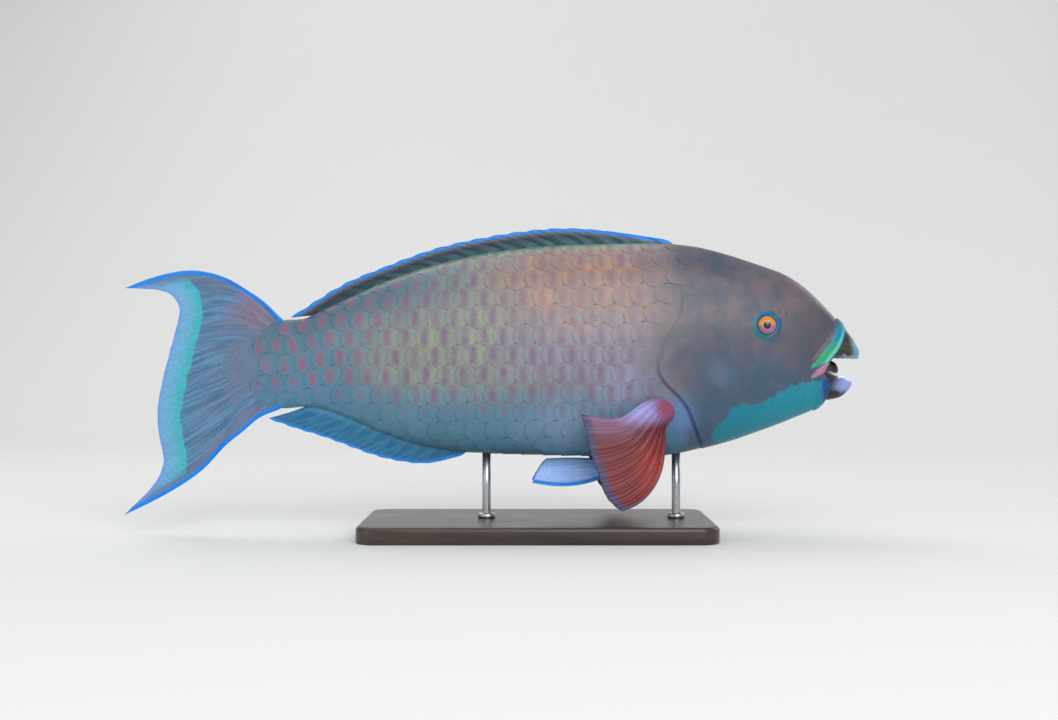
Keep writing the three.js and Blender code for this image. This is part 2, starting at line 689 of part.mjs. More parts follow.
function place(name, manifold, colour, { roughness = 0.4, metalness = 0 } = {}) {
  const material = new THREE.MeshStandardMaterial({ color: colour, roughness, metalness });
  const mesh = new THREE.Mesh(geometryOf(manifold), material);
  mesh.name = name;
  model.add(mesh);
}

place('head', headSolid(), COLOURS.head);
place('torso', behindGill.subtract(frontRegion(-cutShift)).subtract(tailBlock(TOUCH_GAP / 2)), COLOURS.torso);
place('tail', behindGill.intersect(tailBlock(-TOUCH_GAP / 2)), COLOURS.tail);
for (const [name, sections] of Object.entries(beaks)) place(name, beakSolid(sections), COLOURS[name]);
place('dorsal_fin', middleFin(DORSAL, RAY_OPTIONS.dorsal).subtract(clearance), COLOURS.dorsal);
place('anal_fin', middleFin(ANAL, RAY_OPTIONS.anal).subtract(clearance), COLOURS.anal);
place('caudal_fin', caudalFin().subtract(clearance), COLOURS.caudal);
for (const [name, side] of [['right', -1], ['left', 1]]) {
  place(`eye_${name}`, eyeBall(side), COLOURS.eye, { roughness: 0.15 });
  const pectoral = pairedFin(PECTORAL, side, RAY_OPTIONS.pectoral).subtract(clearance);
  const pelvic = pairedFin(PELVIC, side, RAY_OPTIONS.pelvic).subtract(clearance);
  place(`pectoral_fin_${name}`, pectoral, COLOURS.pectoral);
  place(`pelvic_fin_${name}`, pelvic, COLOURS.pelvic);
}
place('stand_base', standBase(), COLOURS.base, { roughness: 0.6 });
for (const [name, x] of [['front', ROD.frontX], ['rear', ROD.rearX]]) {
  place(`stand_rod_${name}`, standRod(x).subtract(clearance), COLOURS.rod, { roughness: 0.3, metalness: 1 });
}

export default model;
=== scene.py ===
# A life-size parrotfish on a display stand: skin, scales, fins, beak, eyes, stand and studio

import logging
import math
from dataclasses import dataclass
from enum import Enum
from typing import Iterable, Sequence

import bpy
import numpy as np
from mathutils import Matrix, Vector

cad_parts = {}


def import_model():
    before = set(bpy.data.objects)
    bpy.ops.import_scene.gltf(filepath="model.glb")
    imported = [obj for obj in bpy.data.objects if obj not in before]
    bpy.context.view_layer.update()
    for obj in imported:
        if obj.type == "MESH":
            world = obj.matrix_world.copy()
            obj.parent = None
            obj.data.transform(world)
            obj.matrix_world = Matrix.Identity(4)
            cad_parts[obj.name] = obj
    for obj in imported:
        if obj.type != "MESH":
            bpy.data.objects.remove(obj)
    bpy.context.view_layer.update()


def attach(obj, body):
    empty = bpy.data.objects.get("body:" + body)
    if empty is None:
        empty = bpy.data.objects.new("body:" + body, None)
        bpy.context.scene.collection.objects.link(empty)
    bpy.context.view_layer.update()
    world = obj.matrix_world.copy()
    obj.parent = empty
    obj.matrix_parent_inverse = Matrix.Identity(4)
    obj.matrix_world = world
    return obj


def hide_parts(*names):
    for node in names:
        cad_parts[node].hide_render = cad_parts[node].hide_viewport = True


LOG = logging.getLogger("parrotfish")

MM = 0.001
BODY_NAME = "root"
SIDES = (("right", -1), ("left", 1))
FULL_TURN = 2 * math.pi

Rows = Sequence[Sequence[float]]
Pair = tuple[float, float]
Triple = tuple[float, float, float]
Array = np.ndarray
Number = Array | float
Piece = bpy.types.Object
Mesh = bpy.types.Mesh
Material = bpy.types.Material
Socket = bpy.types.NodeSocket
Value = Socket | float
Inputs = dict[str | int, object]

# Everything below is in millimetres until a mesh is written
# The side outlines were drawn from this viewpoint, so a point that stands out towards it is drawn large
VIEW_X = 23.0
VIEW_Z = 106.6
VIEW_DISTANCE = 900.0

# From the tail fin's root to the lips, where the first stations are a thin tongue inside the fin
# Each has top x and z, keel x and z, width share, height share of the widest place, roundness above and below
STATIONS = (
    (-167, 113, -167, 92, 0.004, 0.5, 1, 1),
    (-153, 122.5, -153, 82, 0.03, 0.5, 1, 1),
    (-140, 127.5, -141, 77.5, 0.08, 0.5, 1, 1),
    (-130, 131.2, -130, 76.6, 0.2, 0.5, 1, 1),
    (-117, 131.8, -117, 77.4, 0.3, 0.5, 1, 1),
    (-103, 137.6, -103, 76.2, 0.39, 0.5, 1, 1),
    (-88, 144.8, -88, 71, 0.49, 0.5, 1.02, 1),
    (-68, 153.8, -68, 62.4, 0.62, 0.5, 1.05, 0.98),
    (-38, 164.2, -38, 52.9, 0.78, 0.5, 1.08, 0.95),
    (-7, 171.6, -7, 49.4, 0.89, 0.49, 1.08, 0.92),
    (24, 175.9, 24, 48.3, 0.96, 0.48, 1.08, 0.9),
    (55, 177.8, 55, 47.6, 0.995, 0.48, 1.06, 0.88),
    (85, 178.5, 85, 47.4, 1, 0.48, 1.03, 0.88),
    (111, 178, 109, 48.1, 0.975, 0.49, 1, 0.9),
    (129, 175.2, 126, 51.6, 0.93, 0.49, 0.96, 0.92),
    (147, 170.4, 142, 55.7, 0.865, 0.5, 0.93, 0.94),
    (165, 164.4, 157, 60.6, 0.78, 0.5, 0.92, 0.95),
    (180, 158.6, 171, 65.6, 0.69, 0.5, 0.92, 0.95),
    (193, 149.8, 182, 69.9, 0.605, 0.5, 0.92, 0.94),
    (203.5, 139.6, 190.5, 73.4, 0.53, 0.5, 0.9, 0.9),
    (211.6, 131, 197, 76.2, 0.465, 0.5, 0.86, 0.86),
    (215.6, 126.9, 200.8, 78.3, 0.43, 0.5, 0.84, 0.84),
)

# The lips roll in to the floor of the mouth: advance along X and share of the last ring
LIP_ROLL = ((0, 1), (1.5, 0.93), (0.6, 0.82), (-5, 0.74), (-14, 0.56))

# The rear edge of the gill cover, from above the nape to below the throat
GILL_LINE = (
    (114, 200), (113.5, 160), (113, 134), (107.5, 124), (101.5, 112), (99.6, 102), (102.6, 94.5),
    (110.5, 86.5), (117.5, 78), (122.4, 67), (126.5, 57), (131, 45), (133, 20),
)

# The rear edge of the bright band on the upper lip, from the mouth corner up
LIP_LINE = (
    (195.5, 101.5), (197.6, 105), (202.5, 111.5), (206, 115.4), (208.3, 118.8), (209.8, 123), (211.2, 128),
    (213, 132),
)

# The upper edge of the turquoise chin, from the belly forward to the mouth
CHIN_LINE = (
    (134, 58), (137, 66), (143, 69), (146, 76), (153, 79.5), (163, 79), (172, 84), (183, 90.5), (197, 93.5),
    (203, 94.5),
)


class Guide:
    """A natural cubic spline through rows of numbers, spaced by the distance between their first places."""

    def __init__(self, rows: Rows, places: int | None = None) -> None:
        """Fit the spline.

        Args:
            rows: the rows that it passes through.
            places: how many of the first numbers of a row count for the spacing, or all of them.
        """
        self.rows = np.array(rows, dtype=float)
        steps = np.linalg.norm(np.diff(self.rows[:, :places], axis=0), axis=1)
        self.knots = np.concatenate(([0.0], np.cumsum(steps))) / steps.sum()
        self.bends = self._bends()

    def _bends(self) -> Array:
        """Work out how the spline bends.

        Returns:
            Second derivatives at the knots, which are 0 at both ends.
        """
        knots, rows = self.knots, self.rows
        system = np.eye(len(knots))
        right = np.zeros_like(rows)
        for i in range(1, len(knots) - 1):
            before = knots[i] - knots[i - 1]
            after = knots[i + 1] - knots[i]
            system[i, i - 1:i + 2] = before, 2 * (before + after), after
            right[i] = 6 * ((rows[i + 1] - rows[i]) / after - (rows[i] - rows[i - 1]) / before)
        return np.linalg.solve(system, right)

    def at(self, share: Number) -> Array:
        """Read the spline.

        Args:
            share: shares of its length.

        Returns:
            The rows of numbers there, along a new last axis.
        """
        share = np.asarray(share, dtype=float)
        i = np.clip(np.searchsorted(self.knots, share), 1, len(self.knots) - 1)
        h = (self.knots[i] - self.knots[i - 1])[..., None]
        a = (self.knots[i] - share)[..., None] / h
        b = 1 - a
        bend = (a ** 3 - a) * self.bends[i - 1] + (b ** 3 - b) * self.bends[i]
        return a * self.rows[i - 1] + b * self.rows[i] + bend * h * h / 6


def mix(a: Number, b: Number, share: Number) -> Number:
    """The value at a share of the way from a to b."""
    return a + (b - a) * share


def smooth(low: Number, high: Number, value: Number) -> Array:
    """An S-shaped rise from 0 at low to 1 at high."""
    t = np.clip((value - low) / (high - low), 0, 1)
    return t * t * (3 - 2 * t)


def bell(value: Number, centre: float = 0.0, width: Number = 1.0) -> Array:
    """A bell curve of height 1."""
    return np.exp(-(((value - centre) / width) ** 2))


def raised(fold: Triple, away: Array) -> Array:
    """The height at given distances over a fold of which height, place and width are given."""
    height, place, width = fold
    return height * bell(away, place, width)


def ripple(turns: Number) -> Array:
    """A wave from 0 to 1 that starts at 0 and comes back to it after each whole turn."""
    return 0.5 - 0.5 * np.cos(turns)


def unit(vectors: Array) -> Array:
    """Vectors at length 1."""
    return vectors / np.maximum(np.linalg.norm(vectors, axis=-1, keepdims=True), 1e-12)


def run_along(points: Array) -> Array:
    """Distances run along the first axis of an array of points, from 0."""
    steps = np.linalg.norm(np.diff(points, axis=0), axis=-1)
    return np.concatenate([np.zeros((1, *steps.shape[1:])), np.cumsum(steps, axis=0)])


def drawn(points: Array) -> Array:
    """See points from the viewpoint.

    Args:
        points: the points.

    Returns:
        Where they are drawn, as x, distance from the middle plane, and z.
    """
    nearer = 1 - np.abs(points[..., 1]) / VIEW_DISTANCE
    x = VIEW_X + (points[..., 0] - VIEW_X) / nearer
    z = VIEW_Z + (points[..., 2] - VIEW_Z) / nearer
    return np.stack([x, np.abs(points[..., 1]), z], axis=-1)


def placed(x: float, z: float, out: float) -> Triple:
    """The place of a point that is drawn at x, z and stands out to the fish's right."""
    nearer = 1 - abs(out) / VIEW_DISTANCE
    return VIEW_X + (x - VIEW_X) * nearer, -out, VIEW_Z + (z - VIEW_Z) * nearer


def grid_faces(rows: int, columns: int, closed: bool = False) -> Array:
    """Join a grid of points.

    Args:
        rows: number of rows.
        columns: number of points in a row.
        closed: whether the last column meets the first.

    Returns:
        Vertex numbers of its quads.
    """
    strips = columns if closed else columns - 1
    row, column = np.meshgrid(np.arange(rows - 1), np.arange(strips), indexing="ij")
    a = row * columns + column
    b = row * columns + (column + 1) % columns
    return np.stack([a, b, b + columns, a + columns], axis=-1).reshape(-1, 4)


def poled_faces(rings: int, sides: int) -> list[list[int]]:
    """Join closed rings, and close both ends on a point.

    Args:
        rings: number of rings.
        sides: number of points in a ring.

    Returns:
        Vertex numbers of the faces, where the first end's point and the last end's come after the rings.
    """
    faces = grid_faces(rings, sides, closed=True).tolist()
    first = rings * sides
    last_ring = first - sides
    for side in range(sides):
        after = (side + 1) % sides
        faces += [[first, after, side], [first + 1, last_ring + side, last_ring + after]]
    return faces


def edge_loop(rows: int, columns: int) -> list[int]:
    """Vertex numbers once round the edge of a grid of points."""
    index = np.arange(rows * columns).reshape(rows, columns)
    return [int(v) for v in (*index[0, :-1], *index[:-1, -1], *index[-1, :0:-1], *index[:0:-1, 0])]


def mesh_object(name: str, points: Array, faces: Iterable[Sequence[int]]) -> Piece:
    """Make a smooth mesh object.

    Args:
        name: name of the object and its mesh.
        points: its vertices, in millimetres.
        faces: vertex numbers of each face.

    Returns:
        The object, linked to the scene.
    """
    mesh = bpy.data.meshes.new(name)
    vertices = (np.asarray(points).reshape(-1, 3) * MM).tolist()
    mesh.from_pydata(vertices, [], [tuple(map(int, face)) for face in faces])
    mesh.polygons.foreach_set("use_smooth", [True] * len(mesh.polygons))
    mesh.update()
    piece = bpy.data.objects.new(name, mesh)
    bpy.context.scene.collection.objects.link(piece)
    return piece


def store(mesh: Mesh, name: str, values: Array) -> None:
    """Keep values on a mesh.

    Args:
        mesh: the mesh.
        name: the name that they are kept by.
        values: a number or a vector for each vertex.
    """
    vector = values.shape[-1] == 3 and values.size == 3 * len(mesh.vertices)
    attribute = mesh.attributes.new(name, "FLOAT_VECTOR" if vector else "FLOAT", "POINT")
    flat = np.ascontiguousarray(values, dtype=float).ravel()
    attribute.data.foreach_set("vector" if vector else "value", flat)


def fetch(mesh: Mesh, name: str) -> Array:
    """Read kept values.

    Args:
        mesh: the mesh.
        name: the name that they are kept by.

    Returns:
        A vector for each vertex.
    """
    values = np.empty(len(mesh.vertices) * 3)
    mesh.attributes[name].data.foreach_get("vector", values)
    return values.reshape(-1, 3)


def positions(mesh: Mesh) -> Array:
    """Read the places of vertices.

    Args:
        mesh: the mesh.

    Returns:
        Its vertices, in millimetres.
    """
    values = np.empty(len(mesh.vertices) * 3)
    mesh.vertices.foreach_get("co", values)
    return values.reshape(-1, 3) / MM


def keep(piece: Piece, slot: str, *nodes: str) -> None:
    """Set a finished piece on the body and report it.

    Args:
        piece: the piece.
        slot: its material slot; not used.
        nodes: the nodes that it stands for, if any.
    """
    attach(piece, BODY_NAME)
    if nodes:
        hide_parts(*nodes)
    triangles = sum(len(face.vertices) - 2 for face in piece.data.polygons)
    LOG.info("%s: %d triangles", piece.name, triangles)


class Paint(Enum):
    """The colours, as red, green and blue from 0 to 255."""

    TEAL = (76, 115, 137)
    OLIVE = (124, 132, 126)
    TAUPE = (130, 122, 122)
    YELLOW_GREEN = (138, 144, 124)
    BACK_TEAL = (78, 104, 120)
    APRICOT = (138, 120, 112)
    ORANGE_CLOUD = (164, 126, 106)
    LILAC_GREY = (130, 127, 144)
    BELLY_BLUE = (74, 122, 147)
    CHEST_BLUE = (122, 150, 178)
    LAVENDER = (128, 134, 158)
    STRIP_BLUE = (84, 122, 172)
    HEAD_TAUPE = (104, 90, 94)
    HEAD_SLATE = (62, 72, 86)
    HEAD_BLUE = (56, 80, 100)
    HEAD_BROWN = (72, 71, 80)
    CHEEK_BLUE = (90, 106, 134)
    THROAT = (54, 80, 110)
    ROSE = (136, 80, 103)
    BAR_MAUVE = (112, 92, 114)
    BAR_BROWN = (126, 98, 104)
    RIDGE_GREEN = (118, 144, 122)
    CHIN_TEAL = (4, 118, 136)
    CHIN_CYAN = (12, 134, 154)
    CHIN_BLUE = (10, 62, 122)
    LIP_TEAL = (6, 92, 112)
    LIP_CYAN = (16, 128, 154)
    LIP_GREEN = (50, 158, 112)
    # painted highlight: the pale glint line along the upper lip's front edge
    LIP_HIGHLIGHT = (150, 222, 220)
    FOLD_PINK = (164, 112, 146)
    # painted shade: near black for the inside of the mouth
    MOUTH_SHADE = (34, 24, 20)
    # painted shade: the dark line in the groove along the gill cover's free edge, and under the mouth-corner
    # fold
    CREASE_SHADE = (76, 68, 100)
    RING_TEAL = (4, 96, 108)
    RING_BLUE = (14, 80, 134)
    IRIS_ORANGE = (226, 146, 8)
    IRIS_AMBER = (190, 92, 20)
    IRIS_PINK = (158, 92, 124)
    PUPIL_RING = (176, 140, 172)
    PUPIL = (4, 10, 14)
    DORSAL_SLATE = (24, 48, 60)
    DORSAL_BROWN = (48, 54, 64)
    DORSAL_ROSE = (104, 104, 122)
    DORSAL_TEAL = (10, 88, 96)
    FIN_BLUE = (2, 124, 216)
    FIN_LIGHT = (72, 140, 222)
    ANAL_TEAL = (20, 108, 138)
    ANAL_BLUE = (16, 84, 132)
    TAIL_GREY = (84, 134, 168)
    TAIL_DARK = (50, 90, 124)
    TAIL_MAUVE = (108, 110, 138)
    TAIL_ROOT = (94, 110, 136)
    TAIL_RUST = (124, 98, 108)
    TAIL_GREEN = (54, 168, 178)
    TAIL_SKY = (100, 164, 200)
    TAIL_LILAC = (104, 142, 212)
    FIN_RED = (104, 24, 28)
    FIN_ORANGE = (148, 40, 22)
    FIN_MAUVE = (128, 94, 124)
    # painted shade on the membrane between the pectoral rays
    FIN_SHADE_VIOLET = (52, 26, 50)
    LOBE_RED = (150, 66, 88)
    # painted sheen on the pectoral fin's shoulder, where the rays bend over
    SHOULDER_SHEEN = (150, 142, 200)
    MARGIN_SLATE = (50, 58, 94)
    PELVIC_LILAC = (158, 188, 250)
    PELVIC_GREY = (110, 146, 196)
    BEAK_BROWN = (42, 33, 20)
    BEAK_OLIVE = (72, 60, 30)
    BEAK_DARK = (30, 25, 22)
    BEAK_BLUE = (112, 146, 172)
    BEAK_LILAC = (136, 152, 206)
    # partly the lower biting edge's pale enamel, partly a painted highlight along it
    BEAK_WHITE_AND_GLINT = (226, 230, 244)
    WOOD_DARK = (34, 25, 20)
    WOOD_LIGHT = (70, 51, 38)
    STEEL = (176, 178, 182)
    STUDIO = (222, 222, 220)

    @property
    def linear(self) -> tuple[float, ...]:
        """Linear red, green and blue by the usual curve of screen colours, and 1 for alpha."""
        parts = [value / 255 for value in self.value]
        return *(p / 12.92 if p <= 0.04045 else ((p + 0.055) / 1.055) ** 2.4 for p in parts), 1.0


Tone = Paint | Socket


class Bench:
    """Sets out and joins the nodes of one tree."""

    def __init__(self, tree: bpy.types.NodeTree) -> None:
        """Start on a tree."""
        self.tree = tree

    def feed(self, node: bpy.types.Node, inputs: Inputs) -> None:
        """Join sockets to a node's inputs and set the others.

        Args:
            node: the node.
            inputs: sockets, values and paints, by the input's name or number.
        """
        for key, value in inputs.items():
            if isinstance(value, Socket):
                self.tree.links.new(value, node.inputs[key])
            else:
                node.inputs[key].default_value = value.linear if isinstance(value, Paint) else value

    def node(self, kind: str, inputs: Inputs | None = None, **settings: object) -> bpy.types.Node:
        """Add a node.

        Args:
            kind: the node's type name.
            inputs: sockets, values and paints for its inputs, by name or number.
            settings: the node's own properties.

        Returns:
            The new node.
        """
        node = self.tree.nodes.new(kind)
        for name, value in settings.items():
            setattr(node, name, value)
        self.feed(node, inputs or {})
        return node

    def math(self, operation: str, *values: Value) -> Socket:
        """Arithmetic on one to three numbers."""
        return self.node("ShaderNodeMath", dict(enumerate(values)), operation=operation).outputs[0]

    def plus(self, a: Value, b: Value) -> Socket:
        """The sum of two numbers."""
        return self.math("ADD", a, b)

    def minus(self, a: Value, b: Value) -> Socket:
        """What is left of a number when another is taken away."""
        return self.math("SUBTRACT", a, b)

    def product(self, *values: Value) -> Socket:
        """Multiply numbers.

        Args:
            values: the numbers, the first of which is a socket.

        Returns:
            Their product.
        """
        result = values[0]
        for value in values[1:]:
            result = self.math("MULTIPLY", result, value)
        return result

    def far(self, dx: Socket, dz: Socket) -> Socket:
        """The length of a step across and up."""
        return self.math("SQRT", self.plus(self.product(dx, dx), self.product(dz, dz)))

    def swing(self, noise: Socket, size: float) -> Socket:
        """A noise that swings to both sides of 0."""
        return self.product(self.minus(noise, 0.5), size)

    def blend(self, a: Tone, b: Tone, *shares: Value) -> Socket:
        """A colour on the way from a to b, by the product of the shares."""
        return self.node("ShaderNodeMix", {0: self.product(*shares), 6: a, 7: b}, data_type="RGBA").outputs[2]

    def over(self, tone: Socket, *coats: tuple[Tone | Value, ...]) -> Socket:
        """Lay coats of paint over a colour.

        Args:
            tone: the colour.
            coats: each coat's paint, then the shares whose product says how far it covers.

        Returns:
            The colour on top.
        """
        for paint, *shares in coats:
            tone = self.blend(tone, paint, *shares)
        return tone

    def lit(self, tone: Tone, value: Value) -> Socket:
        """A colour with its brightness multiplied."""
        return self.node("ShaderNodeHueSaturation", {"Value": value, "Color": tone}).outputs[0]

    def rise(self, value: Socket, low: float, high: float, start: float = 0.0, end: float = 1.0) -> Socket:
        """An S-shaped change from start at low to end at high."""
        inputs = {0: value, 1: low, 2: high, 3: start, 4: end}
        return self.node("ShaderNodeMapRange", inputs, interpolation_type="SMOOTHSTEP").outputs[0]

    def fall(self, value: Socket, low: float, high: float) -> Socket:
        """An S-shaped fall from 1 at low to 0 at high."""
        return self.rise(value, low, high, 1.0, 0.0)

    def spread(self, noise: Socket, start: float, end: float) -> Socket:
        """A noise from 0 to 1 spread out between start and end."""
        return self.rise(noise, 0.3, 0.7, start, end)

    def noise(self, where: Socket, scale: float, detail: float = 3.0, roughness: float = 0.55) -> Socket:
        """A noise from 0 to 1."""
        inputs = {"Vector": where, "Scale": scale, "Detail": detail, "Roughness": roughness}
        return self.node("ShaderNodeTexNoise", inputs).outputs[0]

    def number(self, name: str) -> Socket:
        """A kept number."""
        return self.node("ShaderNodeAttribute", attribute_name=name).outputs["Fac"]

    def kept(self, name: str) -> tuple[Socket, Socket, Socket, Socket]:
        """A kept vector and its parts.

        Args:
            name: the name that it is kept by.

        Returns:
            The vector and its three numbers.
        """
        vector = self.node("ShaderNodeAttribute", attribute_name=name).outputs["Vector"]
        parts = self.node("ShaderNodeSeparateXYZ", {0: vector}).outputs
        return vector, parts[0], parts[1], parts[2]

    def place(self) -> Socket:
        """Coordinates on the object, in metres."""
        return self.node("ShaderNodeTexCoord").outputs["Object"]

    def stretched(self, where: Socket, scale: Triple) -> Socket:
        """Coordinates multiplied along each axis."""
        return self.node("ShaderNodeMapping", {"Vector": where, "Scale": scale}).outputs[0]

    def spot(self, x: Socket, z: Socket, centre: Pair, radii: Pair) -> Socket:
        """Mark a soft oval spot.

        Args:
            x: drawn place across.
            z: drawn place up.
            centre: the spot's heart.
            radii: how far it reaches across and up.

        Returns:
            1 at its heart and 0 from its edge out.
        """
        dx = self.math("DIVIDE", self.minus(x, centre[0]), radii[0])
        dz = self.math("DIVIDE", self.minus(z, centre[1]), radii[1])
        return self.fall(self.far(dx, dz), 0.15, 1.0)


class Dressing(Bench):
    """The nodes of a new material, round its one shader."""

    def __init__(self, name: str) -> None:
        """Start a material.

        Args:
            name: the material's name.
        """
        self.material = bpy.data.materials.new(name)
        self.material.use_nodes = True
        super().__init__(self.material.node_tree)

    def finished(
        self, tone: Socket, roughness: Value, steady: dict[str, float],
        relief: tuple[Socket, float, float] | None = None,
    ) -> Material:
        """Join what was worked out to the shader.

        Args:
            tone: the base colour.
            roughness: the roughness.
            steady: values of the shader's other inputs, by name.
            relief: height of the fine relief, its strength and its depth in metres.

        Returns:
            The material.
        """
        inputs = {"Base Color": tone, "Roughness": roughness, **steady}
        if relief:
            height, strength, depth = relief
            bump = self.node("ShaderNodeBump", {"Height": height, "Strength": strength, "Distance": depth})
            inputs["Normal"] = bump.outputs[0]
        self.feed(self.tree.nodes["Principled BSDF"], inputs)
        return self.material


@dataclass
class BodyForm:
    """The body's shape from the tail fin's root to the lips."""

    width: float = 58.0
    gill_depth: float = 0.045
    grown_depth: float = 0.55
    gill_from: float = 62.0
    gill_to: float = 96.0
    step_starts: Pair = (-20.0, -0.3)
    step_ends: Pair = (4.0, 0.8)
    free_from: Pair = (52.0, 60.0)
    free_to: Pair = (98.0, 126.0)
    corner_pull: float = 7.0
    corner_height: float = 0.44
    corner_above: float = 0.24
    corner_below: float = 0.13
    corner_from: float = 0.925

    def __post_init__(self) -> None:
        """Fit the guides."""
        self.guide = Guide(STATIONS, 4)
        line = Guide(GILL_LINE).at(np.linspace(0, 1, 200))
        self.gill_z = line[::-1, 1]
        self.gill_x = line[::-1, 0]
        stations = self.guide.at(np.linspace(0, 1, 300))
        self.top = stations[:, 0], stations[:, 1]
        self.keel = stations[:, 2], stations[:, 3]

    def behind_gill(self, points: Array) -> Array:
        """How far points lie behind the edge of the gill cover."""
        return np.interp(points[..., 2], self.gill_z, self.gill_x) - points[..., 0]

    def gill_opening(self, z: Array) -> Array:
        """1 where the gill cover's edge is free and 0 where it has grown to the body."""
        return smooth(*self.free_from, z) * (1 - smooth(*self.free_to, z))

    def height_share(self, points: Array) -> Array:
        """Measure height against the body.

        Args:
            points: the points.

        Returns:
            Their height above the keel as a share of the body's height there.
        """
        x, z = points[..., 0], points[..., 2]
        top = np.interp(x, *self.top)
        keel = np.interp(x, *self.keel)
        return (z - keel) / (top - keel)

    def surface(
        self, share: Array, angle: Array, advance: Number = 0.0, scale: Number = 1.0,
    ) -> Array:
        """Set out points of the body.

        Args:
            share: place along the body, 0 at the tail fin's root and 1 at the lips.
            angle: place round the ring, from the fish's left through its back and its right to its belly.
            advance: distance that a lip ring moves along X.
            scale: size of a lip ring as a share of the last ring.

        Returns:
            Points in millimetres along a new last axis.
        """
        numbers = self.guide.at(np.minimum(share, 1.0))
        top_x, top_z, keel_x, keel_z, wide, widest, above, below = np.moveaxis(numbers, -1, 0)
        lift = np.sin(angle)
        upper = lift >= 0
        height = widest + lift * np.where(upper, 1 - widest, widest)
        side = np.abs(np.cos(angle)) ** np.where(upper, above, below) * np.sign(np.cos(angle))
        x = mix(keel_x, top_x, height)
        z = mix(keel_z, top_z, height)
        spread = np.where(height > self.corner_height, self.corner_above, self.corner_below)
        corner = smooth(self.corner_from, 1, share)
        back = corner * self.corner_pull * np.abs(side) * bell(height, self.corner_height, spread)
        points = np.stack([
            mix((top_x + keel_x) / 2, x, scale) + advance - back,
            wide * self.width / 2 * side * scale,
            mix((top_z + keel_z) / 2, z, scale),
        ], axis=-1)
        opening = self.gill_opening(points[..., 2])
        step = mix(*self.step_starts, opening), mix(*self.step_ends, opening)
        behind = smooth(*step, self.behind_gill(points))
        reach = smooth(self.gill_from, self.gill_to, points[..., 0])
        points[..., 1] *= 1 - self.gill_depth * mix(self.grown_depth, 1, opening) * reach * behind
        return points

    def flank(self, x: float, z: float) -> float:
        """Find how far the body's side stands out.

        Args:
            x: drawn place across.
            z: drawn place up.

        Returns:
            Its distance from the middle plane.
        """
        numbers = self.guide.at(np.linspace(0, 1, 2000))
        height = (z - numbers[:, 3]) / (numbers[:, 1] - numbers[:, 3])
        at = int(np.argmin(np.abs(mix(numbers[:, 2], numbers[:, 0], height) - x)))
        wide, widest, above, below = numbers[at, 4:]
        level = height[at]
        upper = level >= widest
        reach = (level - widest) / (1 - widest) if upper else (widest - level) / widest
        across = math.sqrt(max(0.0, 1 - reach * reach)) ** (above if upper else below)
        return float(wide * self.width / 2 * across)


@dataclass
class EyeForm:
    """Place and size of an eye."""

    x: float = 168.7
    z: float = 127.9
    radius: float = 8.4
    flatten: float = 0.86
    proud: float = 1.9
    iris: float = 5.35
    pupil: float = 2.15
    flank_back: float = 4.0

    def centre(self, body: BodyForm) -> Triple:
        """Find the middle of the right eye's ball.

        Args:
            body: the body that it sits in.

        Returns:
            Its place.
        """
        out = body.flank(self.x - self.flank_back, self.z)
        x, _, z = placed(self.x, self.z, out)
        return x, -(out + self.proud - self.radius * self.flatten), z


